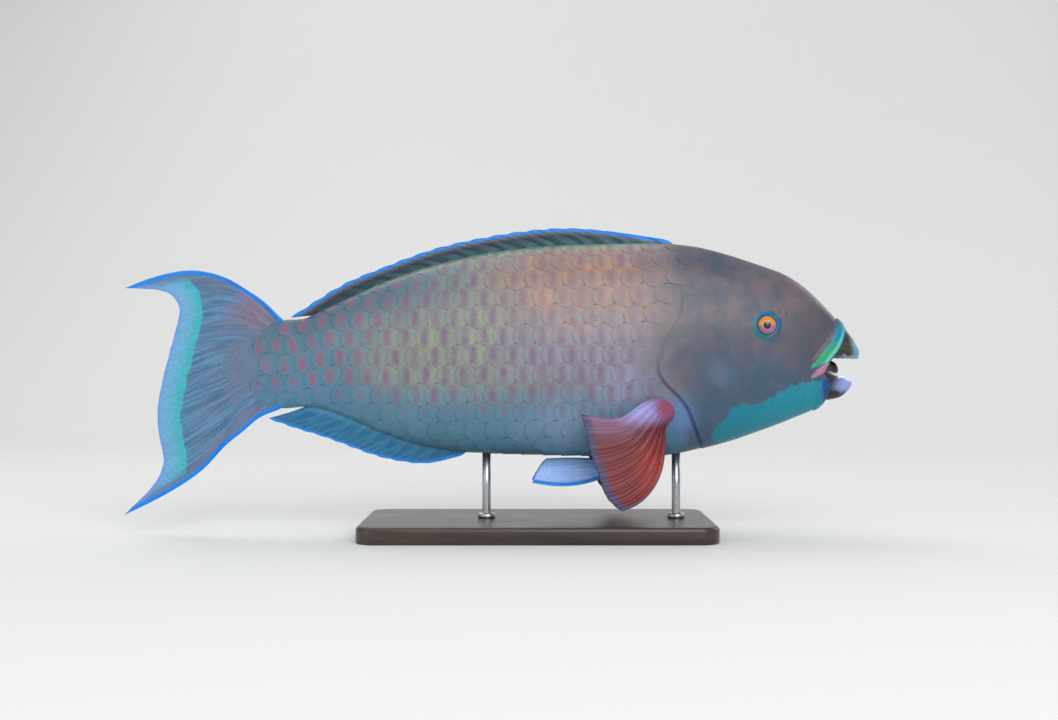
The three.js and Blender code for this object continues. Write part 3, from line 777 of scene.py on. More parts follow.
@dataclass(frozen=True)
class WetSkin:
    """The finish of skin and scales: markings under a thin wet coat. Its spots are drawn places."""

    name: str
    scaled: bool
    roughness: float = 0.42
    coat: float = 0.14
    coat_roughness: float = 0.22
    specular: float = 0.32

    def ground(self, bench: Bench) -> Socket:
        """Paint body and head without the head's own marks.

        Args:
            bench: the material's nodes.

        Returns:
            The colour.
        """
        where, x, _, z = bench.kept("drawn_mm")
        height = bench.number("height")
        drift = bench.noise(where, 0.05)
        cloud = bench.noise(where, 0.042, 3.0, 0.5)
        mottle = bench.noise(where, 0.1, 2.0, 0.45)
        x = bench.plus(x, bench.swing(drift, 24.0))
        z = bench.plus(z, bench.swing(drift, 14.0))
        head = bench.rise(x, 76, 128)
        return bench.over(
            bench.blend(Paint.TEAL, Paint.OLIVE, bench.rise(x, -112, -50)),
            (Paint.TAUPE, bench.rise(x, -6, 50)),
            (Paint.YELLOW_GREEN, bench.rise(mottle, 0.4, 0.72), bench.spot(x, z, (-14, 122), (92, 56)), 0.8),
            (Paint.BACK_TEAL, bench.rise(height, 0.6, 0.95), bench.fall(x, -70, 10)),
            (Paint.APRICOT, bench.spot(x, z, (58, 156), (86, 46))),
            (Paint.ORANGE_CLOUD, bench.rise(mottle, 0.44, 0.62), bench.spot(x, z, (62, 152), (84, 50)), 0.75),
            (Paint.LILAC_GREY, bench.spot(x, z, (52, 110), (80, 32)), 0.8),
            (Paint.BELLY_BLUE, bench.fall(height, 0.16, 0.44), 0.9),
            (Paint.CHEST_BLUE, bench.spot(x, z, (60, 66), (62, 24)), 0.8),
            (Paint.LAVENDER, bench.spot(x, z, (90, 91), (34, 17))),
            (Paint.STRIP_BLUE, bench.spot(x, z, (116, 72), (20, 22)), 0.9),
            (bench.blend(Paint.HEAD_TAUPE, Paint.HEAD_SLATE, bench.rise(cloud, 0.32, 0.68)),
             head, bench.rise(z, 74, 94)),
            (Paint.HEAD_SLATE, bench.spot(x, z, (148, 120), (30, 26)), 0.75),
            (Paint.HEAD_BLUE, head, bench.fall(z, 94, 128), bench.rise(x, 112, 132), 0.95),
            (Paint.THROAT, bench.rise(x, 118, 134), bench.fall(z, 58, 84), 0.8),
            (Paint.CHEEK_BLUE, bench.spot(x, z, (141, 99), (14, 13)), 0.5),
            (Paint.HEAD_BROWN, bench.spot(x, z, (196, 118), (24, 30)), 0.9),
            (Paint.BAR_MAUVE, head, bench.rise(mottle, 0.42, 0.76), 0.22),
            (Paint.HEAD_BLUE, head, bench.fall(mottle, 0.28, 0.52), 0.4),
            (Paint.TAIL_ROOT, bench.fall(x, -152, -138)),
        )

    def scale_bars(self, bench: Bench, tone: Socket) -> Socket:
        """Add a bar to each scale, redder towards the tail, with a darker rear edge that is partly the
        scales' own edge colour and partly painted shade along each rim.

        Args:
            bench: the material's nodes.
            tone: the colour underneath.

        Returns:
            The colour with the bars.
        """
        where, x, _, z = bench.kept("drawn_mm")
        _, along, across, tint = bench.kept("plate")
        along = bench.plus(along, bench.swing(bench.noise(where, 0.5), 0.2))
        paint = bench.over(
            bench.blend(Paint.BAR_MAUVE, Paint.ROSE, bench.fall(x, -104, -46)),
            (Paint.BAR_BROWN, bench.spot(x, z, (56, 150), (80, 44))),
        )
        width = bench.rise(x, -110, -20, 0.22, 0.24)
        height = bench.rise(x, -110, -20, 0.82, 1.1)
        column = bench.math("ABSOLUTE", bench.math("DIVIDE", bench.minus(along, 0.66), width))
        row = bench.math("ABSOLUTE", bench.math("DIVIDE", across, height))
        bar = bench.product(bench.fall(column, 0.05, 1.0), bench.fall(row, 0.35, 1.0))
        patchy = bench.rise(bench.noise(where, 0.11, 3.0), 0.3, 0.62, 0.45, 1.0)
        broken = bench.product(patchy, bench.rise(tint, 0.0, 1.0, 0.8, 1.0))
        above_belly = bench.rise(bench.number("height"), 0.06, 0.34)
        tone = bench.blend(tone, paint, bar, bench.product(above_belly, bench.fall(x, 90, 124), broken))
        # Darker rear rim of each scale: partly the scale's own edge colour, partly painted shade that
        # outlines the overlap
        edge = bench.product(bench.rise(bench.number("brim"), 0.86, 1.0), bench.fall(x, 60, 130), 0.3)
        tone = bench.blend(tone, bench.lit(tone, 0.55), edge)
        return bench.lit(tone, bench.rise(tint, 0.0, 1.0, 0.96, 1.05))

    def head_marks(self, bench: Bench, tone: Socket) -> Socket:
        """Add chin, lips with a painted highlight, the mouth in painted shade, eye ring, and painted shade
        along the gill cover's edge and under the mouth-corner fold.

        Args:
            bench: the material's nodes.
            tone: the colour underneath.

        Returns:
            The colour with the marks.
        """
        where, x, _, z = bench.kept("drawn_mm")
        _, chin, lip, mouth = bench.kept("marks_front")
        _, ring, gill, fold = bench.kept("marks_edge")
        _, past, shadow, _ = bench.kept("marks_lip")
        fine = bench.noise(where, 0.35, 4.0, 0.6)
        cyan = bench.product(bench.rise(x, 140, 196), bench.rise(fine, 0.2, 0.8), 0.8)
        chin_paint = bench.over(
            bench.blend(Paint.CHIN_TEAL, Paint.CHIN_CYAN, cyan),
            (Paint.CHIN_BLUE, bench.rise(x, 200.5, 204.5)),
        )
        # Painted highlight: a pale line just inside the upper lip's front edge
        painted_lip_highlight = bench.product(bench.rise(past, -2.4, -0.9), bench.fall(past, -0.6, 0.4), 0.4)
        lip_paint = bench.over(
            bench.blend(Paint.LIP_GREEN, Paint.LIP_CYAN, bench.rise(z, 110, 123)),
            (Paint.LIP_TEAL, bench.rise(z, 125, 131)),
            (Paint.LIP_HIGHLIGHT, painted_lip_highlight),
            (Paint.CHIN_BLUE, bench.rise(past, 0.2, 1.2)),
        )
        blue_above = bench.spot(x, z, (167, 134), (9, 5))
        blue = bench.math("MAXIMUM", blue_above, bench.spot(x, z, (177, 128), (6, 9)))
        return bench.over(
            tone,
            # Painted shade along the gill cover's free edge
            (Paint.CREASE_SHADE, gill, bench.fall(z, 84, 104), 0.6),
            (chin_paint, chin),
            (Paint.FOLD_PINK, fold),
            (lip_paint, lip),
            # Painted shade under the pink fold at the mouth corner
            (Paint.CREASE_SHADE, shadow, 0.8),
            (bench.blend(Paint.RING_TEAL, Paint.RING_BLUE, blue), ring),
            # Painted shade: the skin that rolls into the mouth is painted near black
            (Paint.MOUTH_SHADE, mouth),
        )

    def material(self) -> Material:
        """Make the material.

        Returns:
            The material, with bars where it is for scales and with the head's marks where it isn't.
        """
        bench = Dressing(self.name)
        where, x, _, _ = bench.kept("drawn_mm")
        scallop = bench.math("ABSOLUTE", bench.math("SINE", bench.product(x, 0.27)))
        line = bench.plus(bench.number("height"), bench.product(scallop, 0.01))
        crest = bench.product(bench.rise(line, 0.968, 0.984), bench.fall(x, 92, 112), bench.rise(x, -96, -70))
        tone = bench.blend(self.ground(bench), Paint.RIDGE_GREEN, crest, 0.85)
        tone = self.scale_bars(bench, tone) if self.scaled else self.head_marks(bench, tone)
        speck = bench.noise(where, 0.9, 5.0, 0.65)
        tone = bench.lit(tone, bench.spread(speck, 0.9, 1.1))
        rough = bench.spread(bench.noise(where, 0.25), self.roughness - 0.07, self.roughness + 0.08)
        grain = bench.plus(bench.noise(where, 1.6, 3.0), bench.product(speck, 0.8))
        steady = {
            "Coat Weight": self.coat,
            "Coat Roughness": self.coat_roughness,
            "Specular IOR Level": self.specular,
        }
        return bench.finished(tone, rough, steady, (grain, 0.35, 0.0002))


@dataclass(frozen=True)
class LipBow:
    """One lip: degrees round the ring where it starts and ends, shares of the body at its ends and middle."""

    start: float
    end: float
    at_ends: float
    at_middle: float
    thin: float
    thick: float
    power: float


@dataclass
class Skin:
    """One skin over head, torso and tail, with the gill cover, eye sockets, nostrils, lips and mouth.

    A fold or groove has its height or depth, its place and its width.
    """

    body: BodyForm
    eye: EyeForm
    sides: int = 288
    rear_rings: int = 96
    head_rings: int = 196
    roll_rings: int = 26
    head_share: float = 0.6
    coat_depth: float = 0.55
    bare_depth: float = 0.12
    thinnest: float = 0.35
    lip_flatness: float = 0.36
    lip_crease: Triple = (0.22, -1.15, 0.22)
    lid: Triple = (0.5, 6.9, 1.3)
    brow: Triple = (0.4, 0.0, 13.0)
    socket_depth: float = 4.2
    socket_wall: Pair = (4.4, 6.0)
    gill_roll: Triple = (0.2, -1.8, 1.8)
    gill_groove: Triple = (0.35, 0.9, 0.8)
    jaw_groove: Triple = (0.35, 0.0, 2.5)
    lip_bows: tuple[LipBow, ...] = (
        LipBow(-1, 181, 0.972, 0.992, 1.8, 3.6, 0.5), LipBow(190, 350, 0.976, 0.992, 1.6, 2.6, 1.0),
    )
    pits: tuple[Triple, ...] = ((181.5, 134.5, 0.8), (177.2, 136.2, 1.0))
    ring_patches: tuple[tuple[float, float, float, float], ...] = (
        (90, 5.9, 5.3, 9.2), (0, 5.4, 5.3, 8.9), (238, 7.6, 5.3, 9.3), (157, 2.6, 6.4, 9.6),
    )
    fold: tuple[Pair, Pair] = ((196.2, 95.9), (208.6, 104.8))
    band_foot: tuple[Pair, Pair] = ((196.6, 101.6), (209.0, 106.2))

    def lay_rings(self) -> None:
        """Set out the grid of points before its folds are raised."""
        rear = np.linspace(0, self.head_share, self.rear_rings, endpoint=False)
        head = np.linspace(self.head_share, 1, self.head_rings)
        roll = Guide(LIP_ROLL).at(np.linspace(0, 1, self.roll_rings + 1)[1:])
        self.share = np.concatenate([rear, head, np.ones(self.roll_rings)])[:, None]
        flat = np.zeros(len(rear) + len(head))
        advance = np.concatenate([flat, roll[:, 0]])[:, None]
        scale = np.concatenate([flat + 1, roll[:, 1]])[:, None]
        self.angle = np.linspace(0, FULL_TURN, self.sides, endpoint=False)[None, :]
        share, angle = np.broadcast_arrays(self.share, self.angle)
        self.points = self.body.surface(share, angle, advance, scale)
        self.x, _, self.z = np.moveaxis(drawn(self.points), -1, 0)
        run = run_along(self.points)
        self.past_lip = run - run[len(flat) - 1]

    def outward(self) -> Array:
        """Work out which way the skin faces.

        Returns:
            Normals of the grid.
        """
        along = np.gradient(self.points, axis=0)
        across = np.roll(self.points, -1, axis=1) - np.roll(self.points, 1, axis=1)
        return unit(np.cross(across, along))

    def lips(self) -> Array:
        """Shape both lips.

        Returns:
            Their height over the grid.
        """
        height = np.zeros(self.points.shape[:2])
        turn = np.degrees(self.angle)
        turn = np.where(turn > 355, turn - 360, turn)
        measured_at = 0.9
        last = int(np.argmax(self.past_lip[:, 0] >= 0))
        row = np.argmin(np.abs(self.share[:last] - measured_at))
        reach = self.past_lip[row, :] / (measured_at - 1)
        for lip in self.lip_bows:
            within = (turn >= lip.start) & (turn <= lip.end)
            bow = np.sin(np.pi * np.clip((turn - lip.start) / (lip.end - lip.start), 0, 1))
            radius = mix(lip.thin, lip.thick, bow ** lip.power)
            centre = (mix(lip.at_ends, lip.at_middle, bow ** 0.6) - 1) * reach
            off = (self.past_lip - centre) / radius
            dome = np.sqrt(np.clip(1 - off ** 2, 0, 1)) * radius * self.lip_flatness
            height += within * (dome - raised(self.lip_crease, off))
        return height

    def upper_band(self) -> Array:
        """Mark the bright band on the upper lip.

        Returns:
            1 on it and 0 off it.
        """
        (ax, az), (bx, bz) = self.band_foot
        above_foot = self.z - az - (self.x - ax) * (bz - az) / (bx - ax)
        rear_edge = np.interp(self.z, *np.array(LIP_LINE).T[::-1])
        return smooth(-0.4, 0.4, self.x - rear_edge) * smooth(-0.4, 0.4, above_foot) * (self.past_lip < 4)

    def eye_folds(self) -> tuple[Array, Array]:
        """Shape lid, socket and brow of the eye, and mark the broken ring round it.

        Returns:
            Height over the grid, and 1 where the ring is painted.
        """
        dx, dz = self.x - self.eye.x, self.z - self.eye.z
        radius = np.hypot(dx, dz)
        socket = self.socket_depth * (1 - smooth(*self.socket_wall, radius))
        turn = np.degrees(np.arctan2(dz, dx)) % 360
        ragged = 0.3 * np.sin(np.radians(turn * 7)) + 0.25 * np.sin(np.radians(turn * 17 + 40))
        ring = np.zeros_like(radius)
        for at, wide, near, far in self.ring_patches:
            off = np.abs((turn - at + 180) % 360 - 180) * np.pi / 180 * radius
            sideways = 1 - smooth(-0.8, 0.8, off - wide + ragged)
            past_near = smooth(near - 0.4, near + 0.4, radius)
            short_of_far = 1 - smooth(-0.6, 0.6, radius - far - ragged)
            ring = np.maximum(ring, sideways * past_near * short_of_far)
        return raised(self.lid, radius) - socket + raised(self.brow, radius), ring

    def nostrils(self) -> Array:
        """Shape the nostrils.

        Returns:
            Height over the grid.
        """
        height = np.zeros_like(self.x)
        for px, pz, size in self.pits:
            off = np.hypot(self.x - px, self.z - pz)
            height += 0.16 * bell(off, size * 1.7, 0.6) - bell(off, 0, size * 0.85)
        return height

    def corner_fold(self) -> tuple[Array, Array]:
        """Mark the pink fold at the mouth corner.

        Returns:
            1 on the fold, and 1 in the shadow under it.
        """
        x, z = self.x, self.z
        (ax, az), (bx, bz) = self.fold
        length = math.hypot(bx - ax, bz - az)
        t = np.clip(((x - ax) * (bx - ax) + (z - az) * (bz - az)) / length ** 2, 0, 1)
        aside = np.hypot(x - ax - t * (bx - ax), z - az - t * (bz - az))
        half_width = 0.5 + 1.5 * np.sin(np.pi * t) ** 0.7
        fold = (self.past_lip < 6) * (1 - smooth(0.8, 1.15, aside / half_width))
        below = z < az + (x - ax) * (bz - az) / (bx - ax)
        shadow = below * bell(aside, 2.6, 0.8) * smooth(0.3, 0.8, t) * (self.past_lip < 4)
        return fold, shadow

    def raise_folds(self) -> dict[str, Array]:
        """Raise and sink the folds of head and gill cover.

        Returns:
            Masks of what is painted there, by the names that they are kept by.
        """
        x, z = self.x, self.z
        outer = self.past_lip < 1.5
        band = self.upper_band()
        eye, ring = self.eye_folds()
        fold, shadow = self.corner_fold()
        behind = self.body.behind_gill(self.points)
        free = self.body.gill_opening(self.points[..., 2]) * smooth(60, 90, self.points[..., 0])
        gill = free * (raised(self.gill_roll, behind) - raised(self.gill_groove, behind))
        # Where painted shade lies along the groove at the gill cover's free edge
        rim = free * bell(behind, 0.5, 1.4)
        jagged = 0.7 * np.sin(x * 0.9), 0.5 * np.sin(x * 2.3 + 1), 0.3 * np.sin(x * 5.1)
        line = np.interp(x, *np.array(CHIN_LINE).T) + jagged[0] + jagged[1] + jagged[2]
        chin = smooth(-0.6, 0.6, line - z) * smooth(133, 137, x + 0.4 * (z - 60)) * (self.past_lip < 4)
        # Where the skin rolls into the mouth, later painted near black as painted shade
        mouth = smooth(1.2, 3.2, self.past_lip - band)
        scaled = np.maximum(smooth(-1, 1, behind), smooth(135, 150, z) * (1 - smooth(108, 130, x)))
        half = np.abs(self.points[..., 1]).max(axis=1, keepdims=True)
        sunk = np.minimum(mix(self.bare_depth, self.coat_depth, scaled), self.thinnest * half)
        jaw_line = raised(self.jaw_groove, np.abs(line - z)) * smooth(160, 186, x)
        rise = outer * eye + outer * self.nostrils() + gill + self.lips() + 0.5 * fold
        rise = rise - jaw_line * outer - sunk
        self.points = self.points + self.outward() * rise[..., None]
        return {
            "marks_front": np.stack([chin * (1 - mouth), band, mouth], axis=-1),
            "marks_edge": np.stack([ring * outer, rim, fold * (1 - band)], axis=-1),
            "marks_lip": np.stack([self.past_lip, shadow, np.zeros_like(shadow)], axis=-1),
        }

    def build(self) -> Piece:
        """Make the skin's mesh and dress it.

        Returns:
            The skin.
        """
        self.lay_rings()
        marks = self.raise_folds()
        ends = self.points[0].mean(axis=0), self.points[-1].mean(axis=0)
        points = np.concatenate([self.points.reshape(-1, 3), ends])
        skin = mesh_object("skin", points, poled_faces(*self.points.shape[:2]))
        store(skin.data, "drawn_mm", drawn(points))
        store(skin.data, "height", self.body.height_share(points))
        marks["outward"] = self.outward()
        at_ends = {"marks_front": [[0, 0, 0], [0, 0, 1]], "outward": [[-1, 0, 0], [1, 0, 0]]}
        for name, values in marks.items():
            closing = at_ends.get(name, np.zeros((2, 3)))
            store(skin.data, name, np.concatenate([values.reshape(-1, 3), closing]))
        skin.data.materials.append(WetSkin("fish_skin", scaled=False).material())
        return skin


class FlankRing:
    """The right half of a ring round the body, from the ridge over the flank to the keel."""

    def __init__(self, body: BodyForm, share: float, steps: int = 240) -> None:
        """Set out the ring.

        Args:
            body: the body.
            share: place along it.
            steps: number of steps from ridge to keel.
        """
        angles = np.linspace(np.pi / 2, 1.5 * np.pi, steps + 1)
        self.points = body.surface(np.full(angles.shape, share), angles)
        run = run_along(self.points)
        self.away = run[steps // 2] - run

    def at(self, arc: float) -> Array:
        """The point at a distance up the ring from its middle, or the end that it would run past."""
        arc = float(np.clip(arc, self.away[-1], self.away[0]))
        return np.array([np.interp(arc, self.away[::-1], self.points[::-1, k]) for k in range(3)])

    def reaches(self, arc: float, slack: float) -> bool:
        """Whether a distance from the middle lies on the ring or past its ends by less than the slack."""
        return self.away[-1] - slack < arc < self.away[0] + slack


@dataclass
class ScaleCoat:
    """The large scales, row after row along the flanks, laid on the skin by Geometry Nodes."""

    body: BodyForm
    pitch: float = 11.7
    length: float = 17.6
    width: float = 16.4
    lift_root: float = -0.14
    lift_edge: float = 0.46
    thickness: float = 0.24
    tuck_depth: float = 1.5
    rows_along: int = 4
    rows_across: int = 10
    rows_each_way: int = 9
    first_column: float = -139.0
    last_column: float = 140.0
    gill_gap: float = 0.6
    nape_level: float = 128.0
    nape_limit: float = 110.0
    nape_slope: float = 0.42
    rear_bow: float = 12.0
    rear_level: float = 103.0
    rear_reach: float = 24.0
    fin_root: Pair = (106.0, 76.5)
    fin_root_radii: Pair = (6.5, 7.5)
    breast: Pair = (99.0, 86.0)
    seed: int = 11
    size_spread: float = 0.03
    bake_from: float = -150.0
    bake_span: float = 620.0
    bake_patch: float = 0.003

    def plate(self) -> Piece:
        """Make one scale, flat, with its root at the origin and its rounded edge along +X.

        Returns:
            The scale, which keeps its heights apart.
        """
        forward = 1 - (1 - np.linspace(0, 1, self.rows_along + 1)) ** 1.5
        sideways = np.sin(np.linspace(-0.5, 0.5, self.rows_across + 1) * np.pi)
        a, b = np.meshgrid(forward, sideways, indexing="ij")
        bow = np.sqrt(np.clip(1 - 0.998 * b ** 2, 0, 1))
        along = mix(0.12 * (1 - bow), 0.4 + 0.6 * bow ** 0.95, a)
        across = b * (0.92 + 0.08 * np.sin(np.pi * a))
        top = self.lift_root + (self.lift_edge - self.lift_root) * along * (1 - 0.2 * across ** 2)
        flat = np.stack([along * self.length, across * self.width / 2, along * 0], axis=-1).reshape(-1, 3)
        place = np.stack([along, across, along * 0], axis=-1).reshape(-1, 3)
        brim = np.maximum(a, np.abs(b) ** 3).ravel()
        loop = edge_loop(*a.shape)
        around = len(loop)
        faces = [list(face[::-1]) for face in grid_faces(*a.shape)]
        for i, v in enumerate(loop):
            after = (i + 1) % around
            faces.append([v, loop[after], a.size + after, a.size + i])
        faces.append([a.size + i for i in range(around)])
        plate = mesh_object("scale_plate", np.concatenate([flat, flat[loop]]), faces)
        store(plate.data, "plate", np.concatenate([place, place[loop]]))
        store(plate.data, "brim", np.concatenate([brim, brim[loop]]))
        store(plate.data, "rise", np.concatenate([top.ravel(), top.ravel()[loop] - self.thickness]) * MM)
        edge = {frozenset(pair) for pair in zip(loop, loop[1:] + loop[:1])}
        for line in plate.data.edges:
            line.use_edge_sharp = frozenset(line.vertices) in edge
        return plate

    def within(self, point: Array) -> bool:
        """Decide where scales grow.

        Args:
            point: a place on the body.

        Returns:
            Whether a scale grows with its root there.
        """
        x, _, z = drawn(point)
        limit = float(np.interp(point[2], self.body.gill_z, self.body.gill_x)) - self.gill_gap
        if point[2] > self.nape_level:
            limit = self.nape_limit + self.nape_slope * (point[2] - self.nape_level)
        off = (np.array([x, z]) - self.fin_root) / self.fin_root_radii
        on_breast = x > self.breast[0] and z < self.breast[1]
        rear = self.first_column + self.rear_bow * ((point[2] - self.rear_level) / self.rear_reach) ** 2
        return rear < point[0] < limit and not math.hypot(*off) < 1 and not on_breast

    def seats(self) -> Piece:
        """Set out where scales grow on both flanks.

        Returns:
            Points with the direction of each scale's lie, its outward direction, size and place for baking.
        """
        shares = np.linspace(0, 1, 400)
        middle = self.body.surface(shares, np.full(shares.shape, np.pi))[:, 0]
        places, lies, outs, sizes, bakes = [], [], [], [], []
        rng = np.random.default_rng(self.seed)
        columns = int((self.last_column - self.first_column) / self.pitch) + 1
        for row in range(-self.rows_each_way, self.rows_each_way + 1):
            for column in range(columns):
                x = self.first_column + (column + (0.5 if row % 2 else 0.0)) * self.pitch
                share = float(np.interp(x, middle, shares))
                arc = row * self.pitch * (0.99 + 0.02 * rng.random())
                ring = FlankRing(self.body, share)
                here = ring.at(arc)
                past_edge = min(np.linalg.norm(here - end) for end in ring.points[[0, -1]]) < 0.02
                if not self.within(here) or (past_edge and not ring.reaches(arc, self.pitch * 0.35)):
                    continue
                ahead = FlankRing(self.body, min(share + 0.01, 1.0)).at(arc)
                astern = FlankRing(self.body, max(share - 0.01, 0.0)).at(arc)
                lie = unit(astern - ahead)
                out = unit(np.cross(ring.at(arc + 2) - ring.at(arc - 2), lie))
                out = out if out[1] < 0 or past_edge else -out
                size = 0.94 + 0.1 * rng.random()
                taper = float(smooth(-150, -96, x)) * 0.16 + 0.84
                nape = 1 - 0.2 * float(smooth(100, 125, here[0]))
                for side in (1, -1):
                    flip = np.array([1, side, 1])
                    places.append(here * flip)
                    lies.append(lie * flip)
                    outs.append(out * flip)
                    sizes.append(size * taper * nape)
                    up = 0.5 + side * (0.25 + arc / self.bake_span)
                    bakes.append([0.05 + (x - self.bake_from) / self.bake_span * 0.9, up, rng.random()])
        seats = mesh_object("scales", np.array(places), [])
        for name, values in (("lie", lies), ("out", outs), ("seat", bakes), ("size", sizes)):
            store(seats.data, name, np.array(values, dtype=float))
        return seats

    @staticmethod
    def tree() -> bpy.types.NodeTree:
        """Make the node tree that sets a plate on each seat and wraps it round the skin.

        Returns:
            The tree, which ends in real geometry with its finish.
        """
        tree = bpy.data.node_groups.new("lay_scales", "GeometryNodeTree")
        face = tree.interface
        for name, kind in (
            ("Seats", "Geometry"), ("Skin", "Object"), ("Plate", "Object"), ("Size Spread", "Float"),
            ("Seed", "Int"), ("Finish", "Material"),
        ):
            face.new_socket(name, in_out="INPUT", socket_type=f"NodeSocket{kind}")
        face.new_socket("Scales", in_out="OUTPUT", socket_type="NodeSocketGeometry")
        bench = Bench(tree)
        given = bench.node("NodeGroupInput").outputs

        def live(sockets: Iterable[Socket], name: str) -> Socket:
            """The socket of that name that is in use."""
            return next(socket for socket in sockets if socket.enabled and socket.name == name)

        def named(name: str, kind: str) -> Socket:
            """A kept value in the tree."""
            node = bench.node("GeometryNodeInputNamedAttribute", {"Name": name}, data_type=kind)
            return live(node.outputs, "Attribute")

        def shape(socket: Socket, instance: bool) -> Socket:
            """Geometry of an object that is handed in."""
            node = bench.node("GeometryNodeObjectInfo", {"Object": socket, "As Instance": instance})
            return node.outputs["Geometry"]

        turned = bench.node(
            "FunctionNodeAxesToRotation",
            {"Primary Axis": named("out", "FLOAT_VECTOR"), "Secondary Axis": named("lie", "FLOAT_VECTOR")},
            primary_axis="Z", secondary_axis="X",
        )
        chance = bench.node("FunctionNodeRandomValue", {"Seed": given["Seed"]}, data_type="FLOAT")
        tree.links.new(bench.minus(1.0, given["Size Spread"]), live(chance.inputs, "Min"))
        tree.links.new(bench.plus(1.0, given["Size Spread"]), live(chance.inputs, "Max"))
        planted = bench.node("GeometryNodeInstanceOnPoints", {
            "Points": given["Seats"], "Instance": shape(given["Plate"], True), "Rotation": turned.outputs[0],
            "Scale": bench.product(named("size", "FLOAT"), live(chance.outputs, "Value")),
        })
        laid = bench.node("GeometryNodeRealizeInstances", {0: planted.outputs[0]})
        skin = shape(given["Skin"], False)
        nearest = bench.node("GeometryNodeProximity", {0: skin}, target_element="FACES")
        sampled = bench.node("GeometryNodeSampleNearestSurface", {0: skin}, data_type="FLOAT_VECTOR")
        tree.links.new(named("outward", "FLOAT_VECTOR"), live(sampled.inputs, "Value"))
        lifted = bench.node(
            "ShaderNodeVectorMath", {0: live(sampled.outputs, "Value"), "Scale": named("rise", "FLOAT")},
            operation="SCALE",
        )
        place = bench.node(
            "ShaderNodeVectorMath", {0: nearest.outputs["Position"], 1: lifted.outputs[0]}, operation="ADD",
        )
        wrapped = bench.node("GeometryNodeSetPosition", {0: laid.outputs[0], "Position": place.outputs[0]})
        plain = bench.node("GeometryNodeRealizeInstances", {0: wrapped.outputs[0]})
        dressed = bench.node("GeometryNodeSetMaterial", {0: plain.outputs[0], "Material": given["Finish"]})
        bench.node("NodeGroupOutput", {0: dressed.outputs[0]})
        return tree

    def lay(self, skin: Piece, finish: Material) -> Piece:
        """Run the node tree and turn its result into a plain mesh.

        Args:
            skin: the skin under the scales.
            finish: the scales' material.

        Returns:
            The scales, in one object.
        """
        plate = self.plate()
        scales = self.seats()
        tree = self.tree()
        modifier = scales.modifiers.new("lay_scales", "NODES")
        modifier.node_group = tree
        values = {
            "Skin": skin, "Plate": plate, "Size Spread": self.size_spread, "Seed": self.seed,
            "Finish": finish,
        }
        for socket in tree.interface.items_tree:
            if socket.in_out == "INPUT" and socket.name in values:
                modifier[socket.identifier] = values[socket.name]
        graph = bpy.context.evaluated_depsgraph_get()
        mesh = bpy.data.meshes.new_from_object(scales.evaluated_get(graph), depsgraph=graph)
        scales.modifiers.clear()
        scales.data = mesh
        bpy.data.objects.remove(plate)
        mesh.polygons.foreach_set("use_smooth", [True] * len(mesh.polygons))
        mesh.polygons.foreach_set("material_index", [0] * len(mesh.polygons))
        mesh.materials.clear()
        mesh.materials.append(finish)
        return scales

    def tuck(self, mesh: Mesh) -> Array:
        """Sink the scales next to the gill opening under the gill cover.

        Args:
            mesh: the scales' mesh.

        Returns:
            Its new vertices, in millimetres.
        """
        points = positions(mesh)
        behind = self.body.behind_gill(points)
        near = self.tuck_depth * (1 - smooth(1.0, 3.2, behind))
        sunk = near * self.body.gill_opening(points[:, 2]) * smooth(60, 90, points[:, 0])
        points = points - fetch(mesh, "out") * sunk[:, None]
        mesh.vertices.foreach_set("co", (points * MM).ravel())
        return points

    def build(self, skin: Piece) -> Piece:
        """Grow the scales on the skin and dress them.

        Args:
            skin: the skin under the scales.

        Returns:
            The scales.
        """
        finish = WetSkin("fish_scales", scaled=True, roughness=0.38, coat=0.16).material()
        scales = self.lay(skin, finish)
        mesh = scales.data
        points = self.tuck(mesh)
        place, seat = fetch(mesh, "plate"), fetch(mesh, "seat")
        for name in ("plate", "seat", "lie", "out", "outward", "size", "rise"):
            if name in mesh.attributes:
                mesh.attributes.remove(mesh.attributes[name])
        store(mesh, "drawn_mm", drawn(points))
        store(mesh, "height", self.body.height_share(points))
        store(mesh, "plate", np.column_stack([place[:, :2], seat[:, 2]]))
        corner = np.empty(len(mesh.loops), dtype=int)
        mesh.loops.foreach_get("vertex_index", corner)
        patch = seat[:, :2] + np.column_stack([place[:, 0] - 0.5, place[:, 1] / 2]) * self.bake_patch
        layer = mesh.uv_layers.new(name="OFBake")
        layer.data.foreach_set("uv", patch[corner].ravel())
        return scales


class FinPaint(Enum):
    """Which fin a membrane's colours belong to."""

    DORSAL = "dorsal"
    ANAL = "anal"
    CAUDAL = "caudal"
    PECTORAL = "pectoral"
    PELVIC = "pelvic"


